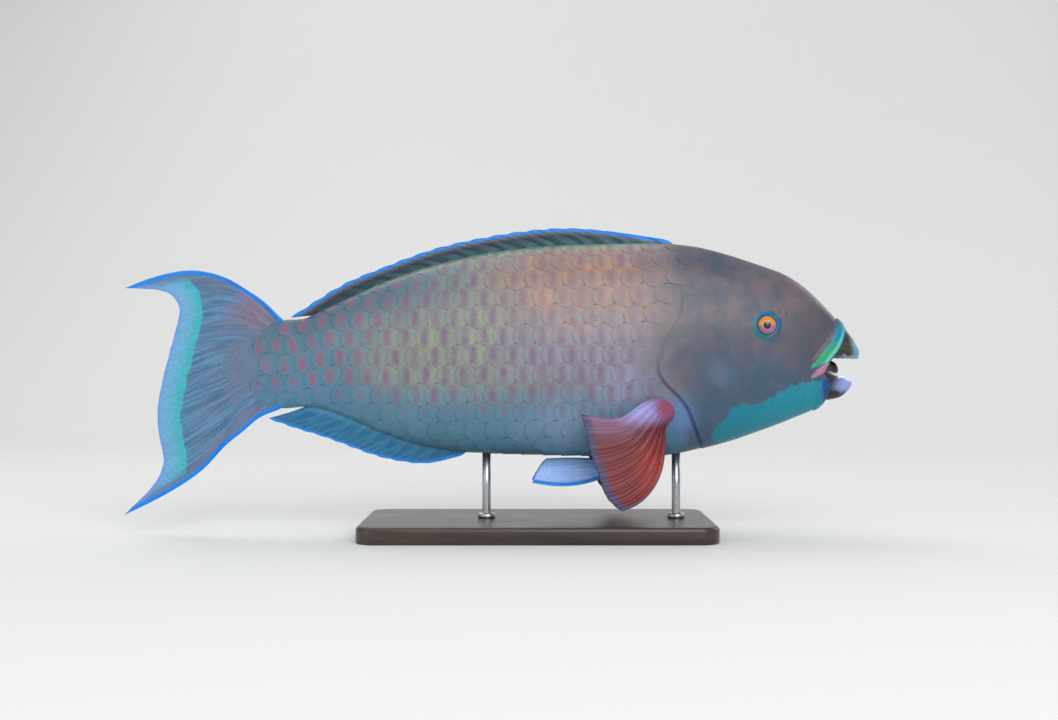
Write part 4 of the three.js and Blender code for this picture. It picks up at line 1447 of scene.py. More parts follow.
class FinBench(Dressing):
    """The nodes of a fin's material, and what its colours follow.

    These are the drawn place, millimetres from the margin and from the first and last edge, the share of
    the way out, the rays, and streaks along them.
    """

    def __init__(self, paint: FinPaint) -> None:
        """Start a material on what a fin's mesh keeps.

        Args:
            paint: which fin it is.
        """
        super().__init__(f"{paint.value}_membrane")
        spread, _, self.out, self.ridge = self.kept("fin")
        _, self.margin, self.first, self.last = self.kept("edges_mm")
        self.where, self.x, _, self.z = self.kept("drawn_mm")
        stretched = self.node("ShaderNodeVectorMath", {0: spread, 1: (70.0, 2.4, 0.0)}, operation="MULTIPLY")
        self.streak = self.rise(self.noise(stretched.outputs[0], 1.0, 4.0, 0.6), 0.38, 0.62)

    def dorsal(self) -> Socket:
        """Paint it dark slate with brownish rays, a teal foot, a rosy line and a bright blue edge.

        Returns:
            The colour.
        """
        edge = self.math("MINIMUM", self.margin, self.first)
        foot = self.product(self.fall(self.out, 0.12, 0.62), self.rise(self.streak, 0.0, 1.0, 0.45, 1.0))
        return self.over(
            self.blend(Paint.DORSAL_SLATE, Paint.DORSAL_BROWN, self.ridge, 0.7),
            (Paint.DORSAL_SLATE, self.streak, 0.6),
            (Paint.DORSAL_TEAL, foot),
            (Paint.DORSAL_ROSE, self.fall(edge, 2.4, 5.0), 0.7),
            (Paint.FIN_BLUE, self.fall(edge, 1.7, 2.5)),
            (Paint.FIN_LIGHT, self.fall(edge, 0.0, 1.0), self.streak, 0.6),
        )

    def anal(self) -> Socket:
        """Paint it deep blue teal, lighter at its root, with a bright blue edge.

        Returns:
            The colour.
        """
        edge = self.math("MINIMUM", self.margin, self.first)
        return self.over(
            self.blend(Paint.ANAL_TEAL, Paint.ANAL_BLUE, self.streak),
            (Paint.TAIL_GREY, self.ridge, 0.25),
            (Paint.TAIL_SKY, self.fall(self.out, 0.2, 0.42), 0.35),
            (Paint.FIN_BLUE, self.fall(edge, 1.3, 2.2)),
            (Paint.FIN_LIGHT, self.fall(edge, 0.0, 0.9), 0.5),
        )

    def caudal(self) -> Socket:
        """Paint it grey blue with dark ray lines, a turquoise band inside the rear edge and blue margins.

        Returns:
            The colour.
        """
        blotch = self.noise(self.where, 0.07, 3.0)
        lobe = self.math("MINIMUM", self.first, self.last)
        inner = self.plus(self.margin, self.swing(self.noise(self.where, 0.12), 3.0))
        band = self.over(
            self.blend(Paint.TAIL_SKY, Paint.TAIL_GREEN, self.rise(self.margin, 5.0, 13.0)),
            (Paint.TAIL_GREY, self.streak, 0.3),
        )
        light = self.product(self.fall(self.first, 0.0, 1.8), self.noise(self.where, 0.3), 0.8)
        return self.over(
            self.blend(Paint.TAIL_GREY, Paint.TAIL_DARK, self.streak, 0.85),
            (Paint.TAIL_MAUVE, self.rise(blotch, 0.36, 0.6), self.rise(self.x, -205, -140), 0.7),
            (Paint.TAIL_RUST, self.spot(self.x, self.z, (-142, 134), (26, 20)), 0.7),
            (Paint.TAIL_ROOT, self.spot(self.x, self.z, (-150, 105), (22, 32))),
            (Paint.TEAL, self.spot(self.x, self.z, (-126, 103), (20, 36)), 0.8),
            (Paint.TAIL_MAUVE, self.fall(lobe, 3.6, 10.0), 0.5),
            (band, self.fall(inner, 13.6, 15.4), self.rise(lobe, 2.6, 8.5)),
            (Paint.TAIL_LILAC, self.fall(self.margin, 0.8, 3.6), 0.8),
            (Paint.FIN_BLUE, self.fall(lobe, 2.0, 3.2)),
            (Paint.FIN_LIGHT, light),
        )

    def pectoral(self) -> Socket:
        """Paint it brick red with orange rays, painted violet shade between the rays, a painted lilac sheen
        on the shoulder and a slate margin.

        Returns:
            The colour.
        """
        # Painted shade: violet darkening on the membrane between the rays
        shadow = self.product(self.fall(self.ridge, 0.05, 0.5), self.rise(self.streak, 0.0, 1.0, 0.35, 0.8))
        low = self.fall(self.z, 30, 72)
        patchy = self.rise(self.streak, 0.0, 1.0, 1.0, 0.45)
        glow = self.product(self.rise(self.ridge, 0.35, 0.95), low, patchy)
        ragged = self.plus(self.margin, self.swing(self.streak, 2.4))
        return self.over(
            self.blend(Paint.FIN_RED, Paint.FIN_SHADE_VIOLET, shadow),
            (Paint.FIN_ORANGE, glow),
            (Paint.FIN_ORANGE, self.spot(self.x, self.z, (98, 40), (16, 26)), 0.6),
            (Paint.FIN_MAUVE, self.fall(self.last, 1.0, 19.0), 0.85),
            # Painted sheen: a lilac spot on the shoulder where the rays bend over
            (Paint.SHOULDER_SHEEN, self.spot(self.x, self.z, (92, 76), (24, 13))),
            (Paint.LOBE_RED, self.spot(self.x, self.z, (107, 77), (10, 10)), 0.85),
            (Paint.MARGIN_SLATE, self.fall(ragged, 2.4, 6.4), 0.9),
            (Paint.MARGIN_SLATE, self.fall(self.first, 0.3, 1.6), self.fall(self.z, 26, 44), 0.8),
        )

    def pelvic(self) -> Socket:
        """Paint it lilac, greyer above, with a bright blue leading edge.

        Returns:
            The colour.
        """
        return self.over(
            self.blend(Paint.PELVIC_LILAC, Paint.PELVIC_GREY, self.fall(self.last, 1.0, 8.0)),
            (Paint.TAIL_GREY, self.streak, 0.35),
            (Paint.FIN_BLUE, self.fall(self.first, 1.8, 3.0)),
            (Paint.FIN_LIGHT, self.fall(self.first, 0.2, 1.2), 0.8),
        )


@dataclass(frozen=True)
class Membrane:
    """The finish of a fin: rays and membrane under a wet coat."""

    paint: FinPaint
    roughness: float = 0.42
    coat: float = 0.12
    coat_roughness: float = 0.24
    specular: float = 0.3

    def material(self) -> Material:
        """Make the material.

        Returns:
            The material of the fin that its paint belongs to.
        """
        bench = FinBench(self.paint)
        painted = {
            FinPaint.DORSAL: bench.dorsal, FinPaint.ANAL: bench.anal, FinPaint.CAUDAL: bench.caudal,
            FinPaint.PECTORAL: bench.pectoral, FinPaint.PELVIC: bench.pelvic,
        }
        speck = bench.noise(bench.where, 0.9, 4.0, 0.6)
        tone = bench.lit(painted[self.paint](), bench.spread(speck, 0.88, 1.12))
        rough = bench.spread(speck, self.roughness - 0.06, self.roughness + 0.08)
        joints = bench.math("SINE", bench.product(bench.out, 190.0))
        relief = bench.plus(bench.product(joints, bench.ridge, 0.35), bench.product(bench.streak, 0.5))
        steady = {
            "Coat Weight": self.coat,
            "Coat Roughness": self.coat_roughness,
            "Specular IOR Level": self.specular,
        }
        return bench.finished(tone, rough, steady, (relief, 0.4, 0.00025))


@dataclass
class Fin:
    """A fin: a thin membrane over forked rays, filled in between its four edges.

    The edges are drawn x and z, and those of a paired fin also have how far out they stand.
    """

    name: str
    node: str
    slot: str
    paint: FinPaint
    root: Rows
    margin: Rows
    first: Rows
    last: Rows
    rays: int
    root_half: float
    ray_half: float
    cells: int = 10
    rows: int = 44
    side: int = 0
    membrane: float = 0.2
    pleat: float = 0.22
    pleat_from: float = 0.0
    scallop: float = 0.0
    nick: float = 0.006
    fork_from: float = 0.45
    fork_to: float = 0.8
    flesh: float = 0.0
    rays_from: float = 0.05

    def edge(self, points: Rows) -> Guide:
        """Lay a spline along one edge.

        Args:
            points: the edge's drawn places.

        Returns:
            The spline through their places.
        """
        if not self.side:
            return Guide([(x, 0.0, z) for x, z in points])
        spots = [placed(*point) for point in points]
        return Guide([(x, -y * self.side, z) for x, y, z in spots])

    def ridge(self, u: Array, v: Array) -> Array:
        """Mark the rays, each of which forks on its way out.

        Args:
            u: share of the way across the fin.
            v: share of the way out.

        Returns:
            1 on a ray and 0 on the membrane.
        """
        single = ripple(FULL_TURN * u * self.rays)
        forked = ripple(2 * FULL_TURN * u * self.rays)
        fork = smooth(self.fork_from, self.fork_to, v)
        return mix(single ** 2, forked ** 1.5, fork) * smooth(-0.02, self.rays_from, v)

    def sheet(self, u: Array, v: Array, edges: list[Guide]) -> tuple[Array, Array]:
        """Fill in between the four edges, and pleat the sheet along the rays.

        Args:
            u: share of the way across the fin.
            v: share of the way out.
            edges: splines along root, margin, first and last edge.

        Returns:
            The sheet's points and their normals before it is pleated.
        """
        root, margin, first, last = edges
        whole = ripple(FULL_TURN * u * self.rays)
        rng = np.random.default_rng(len(self.name))
        nick = np.interp(u[0], np.linspace(0, 1, self.rays * 3), rng.random(self.rays * 3))
        reach = v * (1 - (self.scallop * (1 - whole) + self.nick * nick[None, :]) * v)
        across, along = u[..., None], reach[..., None]
        near = mix(root.at(0.0), root.at(1.0), across)
        far = mix(margin.at(0.0), margin.at(1.0), across)
        ruled_out = mix(root.at(u), margin.at(u), along)
        ruled_across = mix(first.at(reach), last.at(reach), across)
        points = ruled_out + ruled_across - mix(near, far, along)
        normal = unit(np.cross(np.gradient(points, axis=1), np.gradient(points, axis=0)))
        turn_about = np.where(np.arange(u.shape[1]) // self.cells % 2, 1, -1)
        grown = smooth(self.pleat_from, self.pleat_from + 0.35, v)
        pleat = self.pleat * (whole - 0.5) * grown * turn_about
        return points + normal * (pleat * (1 - 0.4 * v))[..., None], normal

    def half_thickness(self, u: Array, v: Array, ridge: Array) -> Array:
        """Work out how thick the fin is.

        Args:
            u: share of the way across the fin.
            v: share of the way out.
            ridge: 1 on a ray and 0 on the membrane.

        Returns:
            Half its thickness, which thins at the first and the last edge.
        """
        tapered = mix(self.root_half, self.ray_half, np.sqrt(v)) * (1 - 0.7 * v)
        half = self.membrane + ridge * tapered + self.flesh * bell(v, 0, 0.13)
        return half * mix(1.0, smooth(0, 0.02, np.minimum(u, 1 - u) + 0.004), 0.6)

    def build(self) -> Piece:
        """Make the fin's mesh and dress it.

        Returns:
            The fin.
        """
        edges = [self.edge(points) for points in (self.root, self.margin, self.first, self.last)]
        columns = self.rays * self.cells + 1
        u, v = np.meshgrid(np.linspace(0, 1, columns), np.linspace(0, 1, self.rows + 1))
        ridge = self.ridge(u, v)
        centre, normal = self.sheet(u, v, edges)
        half = self.half_thickness(u, v, ridge)[..., None]
        points = np.concatenate([centre + normal * half, centre - normal * half]).reshape(-1, 3)
        faces = grid_faces(self.rows + 1, columns)
        count = u.size
        loop = edge_loop(self.rows + 1, columns)
        rim = [[a, a + count, b + count, b] for a, b in zip(loop, loop[1:] + loop[:1])]
        fin = mesh_object(self.name, points, faces.tolist() + (faces[:, ::-1] + count).tolist() + rim)
        flat = centre.reshape(-1, 1, 3)
        limits = [guide.at(np.linspace(0, 1, 160)) for guide in edges[1:]]
        away = np.stack([np.linalg.norm(flat - limit, axis=2).min(axis=1) for limit in limits], axis=-1)
        place = np.stack([u, v, ridge], axis=-1).reshape(-1, 3)
        store(fin.data, "fin", np.concatenate([place, place]))
        store(fin.data, "edges_mm", np.concatenate([away, away]))
        store(fin.data, "drawn_mm", drawn(points))
        fin.data.materials.append(Membrane(self.paint).material())
        return fin


DORSAL = dict(
    root=((113, 173.5), (66, 172.5), (24, 170.5), (-20, 164.5), (-60, 151.5), (-100, 134)),
    margin=((91, 182.8), (66.5, 186.2), (46.3, 187.5), (23.6, 186.2), (-7, 181.4), (-36, 174.6),
            (-68.3, 162.8), (-92, 152.6), (-112, 140.2), (-124.5, 132.2)),
    first=((113, 173.5), (110.5, 178.2), (102, 181.2), (91, 182.8)),
    last=((-100, 134), (-112, 133.6), (-124.5, 132.2)),
)
ANAL = dict(
    root=((-12, 55), (-38, 58.5), (-60, 66), (-84, 75), (-106, 82)),
    margin=((-24, 46.6), (-39.4, 43.3), (-54.2, 44.2), (-70, 47.6), (-83.9, 52.4), (-106.2, 60.4),
            (-122.5, 65.4), (-137.5, 70.8)),
    first=((-12, 55), (-17, 49), (-24, 46.6)),
    last=((-106, 82), (-118, 76.6), (-137.5, 70.8)),
)
CAUDAL = dict(
    root=((-122, 127), (-124, 115), (-125, 103), (-124, 91), (-122, 81)),
    margin=((-225, 150.4), (-208, 149.8), (-196.5, 146.5), (-191.6, 139.5), (-192.4, 130), (-195.6, 117.5),
            (-200, 100.7), (-203.4, 85.8), (-204.9, 71), (-202.8, 56), (-201, 44.2), (-203.6, 35.6),
            (-210.1, 26.3), (-217.5, 19), (-225, 11.6)),
    first=((-122, 127), (-130, 133.4), (-137, 140.4), (-151, 150.4), (-163, 157.1), (-173.5, 160.3),
           (-184, 161.5), (-196, 160.1), (-210.1, 156.3), (-225, 150.4)),
    last=((-122, 81), (-131, 76), (-141.8, 71.4), (-150.8, 64), (-162.6, 54.4), (-173.1, 43), (-188, 31.2),
          (-207.2, 20.2), (-225, 11.6)),
)
PECTORAL = dict(
    root=((108.5, 71.5, 19), (110, 77, 19.5), (106, 81, 20)),
    margin=((79.5, 13.8, 47), (72.8, 19.4, 47), (69.2, 24.6, 46.6), (65.6, 35.3, 45), (61.8, 45.3, 43),
            (58.4, 59.3, 39.6), (54.6, 73.6, 36)),
    first=((108.5, 71.5, 19), (106.6, 65.6, 30.5), (106.6, 56.1, 34.5), (106, 46.8, 38), (104.4, 38.4, 41),
           (100.6, 29.6, 43.5), (94.4, 21.8, 45.4), (88, 17, 46.4), (79.5, 13.8, 47)),
    last=((106, 81, 20), (97, 82, 29.5), (90.4, 78.8, 31.5), (84.6, 74.4, 32.4), (78.6, 71.4, 33),
          (70.6, 71, 34), (59, 72.8, 35.6), (54.6, 73.6, 36)),
)
PELVIC = dict(
    root=((92, 54.5, 5), (89, 55.5, 3.2), (85, 56.5, 2)),
    margin=((24.6, 31.4, 13), (27.4, 37, 10.5), (30.4, 42, 7.6), (33.4, 45.6, 5)),
    first=((92, 54.5, 5), (85, 45, 8.5), (75, 38, 11), (65, 33, 12.4), (52, 29.8, 13.2), (38, 29.4, 13.4),
           (24.6, 31.4, 13)),
    last=((85, 56.5, 2), (72, 47.4, 3.4), (55, 46.2, 4.2), (33.4, 45.6, 5)),
)


def fins() -> list[Fin]:
    """Describe the fins.

    Returns:
        Every fin, the paired ones for both sides.
    """
    unpaired = [
        Fin("dorsal_membrane", "dorsal_fin", "fin_dorsal", FinPaint.DORSAL, **DORSAL, rays=19,
            root_half=0.75, ray_half=0.5, scallop=0.05, rows=36),
        Fin("anal_membrane", "anal_fin", "fin_anal", FinPaint.ANAL, **ANAL, rays=12,
            root_half=0.75, ray_half=0.45, scallop=0.03, rows=36),
        Fin("caudal_membrane", "caudal_fin", "fin_caudal", FinPaint.CAUDAL, **CAUDAL, rays=13,
            root_half=1.1, ray_half=0.3, cells=18, rows=96, fork_from=0.25, fork_to=0.5, flesh=1.7,
            pleat=0.3, pleat_from=0.5),
    ]
    pectorals = [
        Fin(f"pectoral_membrane_{name}", f"pectoral_fin_{name}", "fin_pectoral", FinPaint.PECTORAL,
            **PECTORAL, rays=14, root_half=0.95, ray_half=0.45, cells=12, rows=80, side=side, flesh=2.8,
            pleat=0.45, rays_from=0.3)
        for name, side in SIDES
    ]
    pelvics = [
        Fin(f"pelvic_membrane_{name}", f"pelvic_fin_{name}", "fin_pelvic", FinPaint.PELVIC,
            **PELVIC, rays=6, root_half=0.9, ray_half=0.5, cells=14, rows=56, side=side, flesh=1.0,
            pleat=0.3)
        for name, side in SIDES
    ]
    return unpaired + pectorals + pelvics


@dataclass(frozen=True)
class Tooth:
    """The finish of a beak plate: enamel, darker towards its root, with a pale biting edge that on the lower
    plate is white and partly a painted highlight, and painted shade on its inside.
    """

    name: str
    root: Paint
    middle: Paint
    pale: Paint
    edge: Paint
    pale_from: float
    front_from: Pair
    gloss: float

    def material(self) -> Material:
        """Make the material.

        Returns:
            The enamel, pale in front and towards the biting edge, with painted shade on the inside.
        """
        bench = Dressing(self.name)
        _, level, front, inner = bench.kept("tooth")
        where = bench.place()
        blotch = bench.noise(where, 420.0, 5.0, 0.65)
        level = bench.plus(level, bench.swing(blotch, 0.35))
        forward = bench.rise(front, *self.front_from)
        tone = bench.over(
            bench.blend(self.root, self.middle, bench.rise(blotch, 0.45, 0.65)),
            (self.pale, bench.rise(level, self.pale_from, self.pale_from + 0.3), forward),
            # Biting edge: pale enamel, and on the lower plate a white that is partly a painted highlight
            (self.edge, bench.rise(level, 0.86, 0.97), bench.rise(front, 0.0, 0.6)),
            # Painted shade: the plate's inner face, towards the mouth, is darkened
            (Paint.BEAK_DARK, inner, 0.55),
        )
        rough = bench.rise(blotch, 0.35, 0.65, self.gloss, self.gloss + 0.2)
        inputs = {"Vector": where, "Scale": 620.0}
        cells = bench.node("ShaderNodeTexVoronoi", inputs, feature="DISTANCE_TO_EDGE")
        relief = bench.plus(bench.rise(cells.outputs[0], 0.0, 0.12), bench.product(blotch, 0.6))
        steady = {"Specular IOR Level": 0.3, "Coat Weight": 0.25, "Coat Roughness": 0.08}
        return bench.finished(tone, rough, steady, (relief, 0.4, 0.0002))


@dataclass
class BeakPlate:
    """One fused tooth plate: a curved wall from its root to a nicked biting edge, with a seam in front.

    Each section has drawn x and z, half width, reach forward and thickness of the wall.
    """

    name: str
    node: str
    slope: float
    sections: Rows
    finish: Tooth
    steps: int = 44
    layers: int = 26
    teeth: float = 15.0
    seam: float = 0.45
    bulge: float = 0.18
    nick: float = 0.5

    def build(self) -> Piece:
        """Make the plate's mesh and dress it.

        Returns:
            The plate.
        """
        share = np.linspace(0, 1, self.layers + 1)
        x, z, half_width, reach, wall = (column[:, None] for column in Guide(self.sections, 2).at(share).T)
        angle = np.linspace(-0.5, 0.5, self.steps + 1)[None, :] * np.pi
        side = np.sign(np.sin(angle)) * np.abs(np.sin(angle)) ** 0.85
        to_edge = smooth(0.6, 1.0, share)[:, None]
        seam = self.seam * bell(side, 0, 0.05)
        bulge = self.bulge * np.abs(np.sin(angle * self.teeth)) * to_edge
        nick = self.nick * np.abs(np.cos(angle * self.teeth)) * to_edge ** 3
        upward = 1.0 if self.sections[-1][1] > self.sections[0][1] else -1.0

        def arc(inset: Array) -> Array:
            """Set out one face of the wall.

            Args:
                inset: how far it lies behind the outer face.

            Returns:
                Its points.
            """
            out = reach - inset
            return np.stack([
                x + (out - seam + bulge) * np.cos(angle),
                (half_width - inset) * side,
                z - self.slope * out * np.cos(angle) - upward * nick,
            ], axis=-1)

        edge_wall = self.sections[-1][4]
        thick = np.minimum(np.maximum(wall * mix(1, 0.5, to_edge), edge_wall * 0.5), half_width - 1)
        rings = np.concatenate([arc(np.zeros_like(wall)), arc(thick)[:, ::-1]], axis=1)
        rows, columns = rings.shape[:2]
        faces = grid_faces(rows, columns, closed=True)
        caps = []
        top = (rows - 1) * columns
        for s in range(self.steps):
            a, b, c, d = s, s + 1, columns - 2 - s, columns - 1 - s
            caps += [[a, d, c, b], [top + a, top + b, top + c, top + d]]
        caps = np.array(caps)
        if upward < 0:
            faces, caps = faces[:, ::-1], caps[:, ::-1]
        plate = mesh_object(self.name, rings, faces.tolist() + caps.tolist())
        front = np.concatenate([np.cos(angle), np.cos(angle)[:, ::-1]], axis=1)
        inside = np.concatenate([np.zeros_like(angle), np.ones_like(angle)], axis=1)
        place = np.broadcast_arrays(share[:, None], front, inside)
        store(plate.data, "tooth", np.stack(place, axis=-1).reshape(-1, 3))
        plate.data.materials.append(self.finish.material())
        return plate


def beak_plates() -> list[BeakPlate]:
    """Describe the beak.

    Returns:
        The upper and the lower plate.
    """
    upper = BeakPlate(
        "upper_tooth_plate", "beak_upper", 0.02,
        ((203, 127, 8.2, 12.2, 4.2), (206, 122, 9.2, 13.4, 4.2), (207.2, 116.5, 9.6, 15.8, 4),
         (207.4, 111.5, 9.4, 17.5, 3.2), (206.6, 107.4, 8.8, 17.4, 1.6)),
        Tooth("upper_enamel", Paint.BEAK_BROWN, Paint.BEAK_OLIVE, Paint.BEAK_BLUE, Paint.BEAK_BLUE,
              pale_from=0.3, front_from=(0.6, 0.86), gloss=0.3),
    )
    lower = BeakPlate(
        "lower_tooth_plate", "beak_lower", 0.36,
        ((191, 87.5, 7, 15, 4), (194, 90.2, 7.6, 18.4, 4), (198, 93.8, 8.2, 19.2, 3.8),
         (201, 97.6, 8.4, 19, 3), (202.4, 101.4, 8.2, 18.2, 1.6)),
        Tooth("lower_enamel", Paint.BEAK_DARK, Paint.BEAK_BROWN, Paint.BEAK_LILAC, Paint.BEAK_WHITE_AND_GLINT,
              pale_from=0.34, front_from=(0.3, 0.75), gloss=0.22),
    )
    return [upper, lower]


@dataclass(frozen=True)
class MouthFlesh:
    """Flesh inside the mouth, painted near black with brown blotches as painted shade of the mouth's recess,
    under a wet coat.
    """

    name: str = "mouth_flesh_painted_shade"

    def material(self) -> Material:
        """Make the material.

        Returns:
            The flesh.
        """
        bench = Dressing(self.name)
        blotch = bench.noise(bench.place(), 260.0, 4.0, 0.6)
        # Painted shade: the mouth's recess is painted near black, blotched with brown
        tone = bench.blend(Paint.MOUTH_SHADE, Paint.BEAK_BROWN, bench.rise(blotch, 0.45, 0.7))
        steady = {"Coat Weight": 0.4, "Coat Roughness": 0.15}
        return bench.finished(tone, bench.spread(blotch, 0.3, 0.5), steady, (blotch, 0.4, 0.0003))


@dataclass
class MouthFloor:
    """The tongue and the flesh at the corners, which close the mouth between the tooth plates."""

    back: float = 190.0
    front: float = 212.5
    low: float = 89.5
    high: float = 107.5
    climb: float = 2.2
    half_width: float = 7.4
    groove: float = 0.5
    rings: int = 20
    sides: int = 40

    def build(self) -> Piece:
        """Make the flesh and dress it.

        Returns:
            The flesh.
        """
        share = np.linspace(0, 1, self.rings)[:, None]
        turn = np.linspace(0, FULL_TURN, self.sides, endpoint=False)[None, :]
        size = np.sqrt(np.clip(1 - share ** 3, 0.0004, 1))
        middle = mix(self.low, self.high, 0.5) + self.climb * share
        lobe = 1 + 0.1 * np.cos(2 * turn) * share
        groove = self.groove * bell(np.cos(turn), 0, 0.3) * (turn < np.pi) * share
        points = np.stack([
            np.broadcast_to(mix(self.back, self.front, share), (self.rings, self.sides)),
            np.cos(turn) * self.half_width * size * lobe,
            middle + np.sin(turn) * (self.high - self.low) / 2 * size - groove,
        ], axis=-1)
        ends = [[self.back, 0.0, float(middle[0, 0])], [self.front + 0.05, 0.0, float(middle[-1, 0])]]
        points = np.concatenate([points.reshape(-1, 3), ends])
        flesh = mesh_object("mouth_floor", points, poled_faces(self.rings, self.sides))
        flesh.data.materials.append(MouthFlesh().material())
        return flesh


@dataclass(frozen=True)
class EyeGloss:
    """The finish of an eye: pupil, pale ring, two-toned iris and dark rim under a clear wet coat."""

    name: str
    x: float
    z: float
    iris: float
    pupil: float

    def material(self) -> Material:
        """Make the material.

        Returns:
            The eye's material.
        """
        bench = Dressing(self.name)
        part = bench.node("ShaderNodeSeparateXYZ", {0: bench.place()}).outputs
        dx = bench.product(bench.minus(part[0], self.x * MM), 1 / MM)
        dz = bench.product(bench.minus(part[2], self.z * MM), 1 / MM)
        far = bench.far(dx, dz)
        turn = bench.math("ARCTAN2", dz, dx)
        spokes = bench.node("ShaderNodeCombineXYZ", {0: bench.product(turn, 5.0), 1: bench.product(far, 0.5)})
        fleck = bench.noise(spokes.outputs[0], 3.0, 4.0, 0.6)
        warm = bench.blend(Paint.IRIS_AMBER, Paint.IRIS_ORANGE, bench.rise(fleck, 0.38, 0.55))
        upper = bench.rise(bench.plus(dz, bench.swing(fleck, 2.0)), -0.9, 1.0)
        tone = bench.over(
            bench.lit(bench.blend(Paint.IRIS_PINK, warm, upper), bench.spread(fleck, 0.7, 1.2)),
            (Paint.PUPIL_RING, bench.fall(far, self.pupil + 0.3, self.pupil + 0.8), 0.75),
            (Paint.PUPIL, bench.fall(far, self.pupil - 0.1, self.pupil + 0.35)),
            (Paint.RING_TEAL, bench.rise(far, self.iris - 0.5, self.iris + 0.2)),
        )
        relief = bench.plus(bench.product(fleck, 0.4), bench.rise(far, self.pupil - 0.2, self.pupil + 0.5))
        steady = {"Specular IOR Level": 0.3, "Coat Weight": 0.7, "Coat Roughness": 0.02}
        return bench.finished(tone, 0.2, steady, (relief, 0.35, 0.0002))


@dataclass
class EyeBall:
    """An eye's ball with the cornea's slight bulge."""

    form: EyeForm
    body: BodyForm
    name: str
    side: int
    around: int = 72
    over: int = 44
    bulge: float = 0.45
    clearance: float = 0.12

    def build(self) -> Piece:
        """Make the ball's mesh and dress it.

        Returns:
            The ball.
        """
        x, y, z = self.form.centre(self.body)
        tilts = np.linspace(0, np.pi, self.over + 1)[1:-1]
        turns = np.linspace(0, FULL_TURN, self.around, endpoint=False)
        tilt, turn = np.meshgrid(tilts, turns, indexing="ij")
        radius = self.form.radius - self.clearance
        wide = np.sin(tilt) * radius
        cornea = self.bulge * (1 - smooth(0, self.form.iris + 0.6, wide)) * (tilt < 1.2)
        depth = -np.cos(tilt) * radius * self.form.flatten - cornea
        points = np.stack([x + np.cos(turn) * wide, y + depth, z + np.sin(turn) * wide], axis=-1)
        rim = radius * self.form.flatten
        poles = [[x, y - rim - self.bulge, z], [x, y + rim, z]]
        points = np.concatenate([points.reshape(-1, 3), poles])
        faces = poled_faces(self.over - 1, self.around)
        if self.side > 0:
            points[:, 1] *= -1
        else:
            faces = [face[::-1] for face in faces]
        ball = mesh_object(self.name, points, faces)
        gloss = EyeGloss(f"{self.name}_gloss", x, z, self.form.iris, self.form.pupil)
        ball.data.materials.append(gloss.material())
        return ball


@dataclass(frozen=True)
class StainedWood:
    """Dark stained wood under a satin varnish."""

    name: str = "stained_wood"

    def material(self) -> Material:
        """Make the material.

        Returns:
            The wood, with its grain along X.
        """
        bench = Dressing(self.name)
        long = bench.stretched(bench.place(), (6.0, 90.0, 60.0))
        bands = bench.noise(long, 1.0, 6.0, 0.62)
        pores = bench.noise(long, 9.0, 3.0, 0.6)
        tone = bench.over(
            bench.blend(Paint.WOOD_DARK, Paint.WOOD_LIGHT, bench.rise(bands, 0.34, 0.68)),
            (Paint.BEAK_DARK, bench.fall(pores, 0.3, 0.42), 0.6),
        )
        steady = {"Coat Weight": 0.2, "Coat Roughness": 0.3}
        return bench.finished(tone, bench.spread(pores, 0.42, 0.3), steady, (pores, 0.2, 0.0002))


@dataclass(frozen=True)
class BrushedSteel:
    """Steel with fine turned lines."""

    name: str

    def material(self) -> Material:
        """Make the material.

        Returns:
            The steel, with its lines across Z.
        """
        bench = Dressing(self.name)
        lines = bench.noise(bench.stretched(bench.place(), (60.0, 60.0, 5200.0)), 1.0, 2.0, 0.5)
        tone = bench.lit(Paint.STEEL, bench.spread(lines, 0.88, 1.05))
        return bench.finished(tone, bench.spread(lines, 0.24, 0.38), {"Metallic": 1.0}, (lines, 0.15, 0.0001))


@dataclass(frozen=True)
class StudioPaper:
    """Pale matt paper."""

    name: str = "studio_paper"

    def material(self) -> Material:
        """Make the material.

        Returns:
            The paper.
        """
        bench = Dressing(self.name)
        tone = bench.lit(Paint.STUDIO, bench.spread(bench.noise(bench.place(), 900.0, 2.0), 0.985, 1.0))
        return bench.finished(tone, 0.85, {})


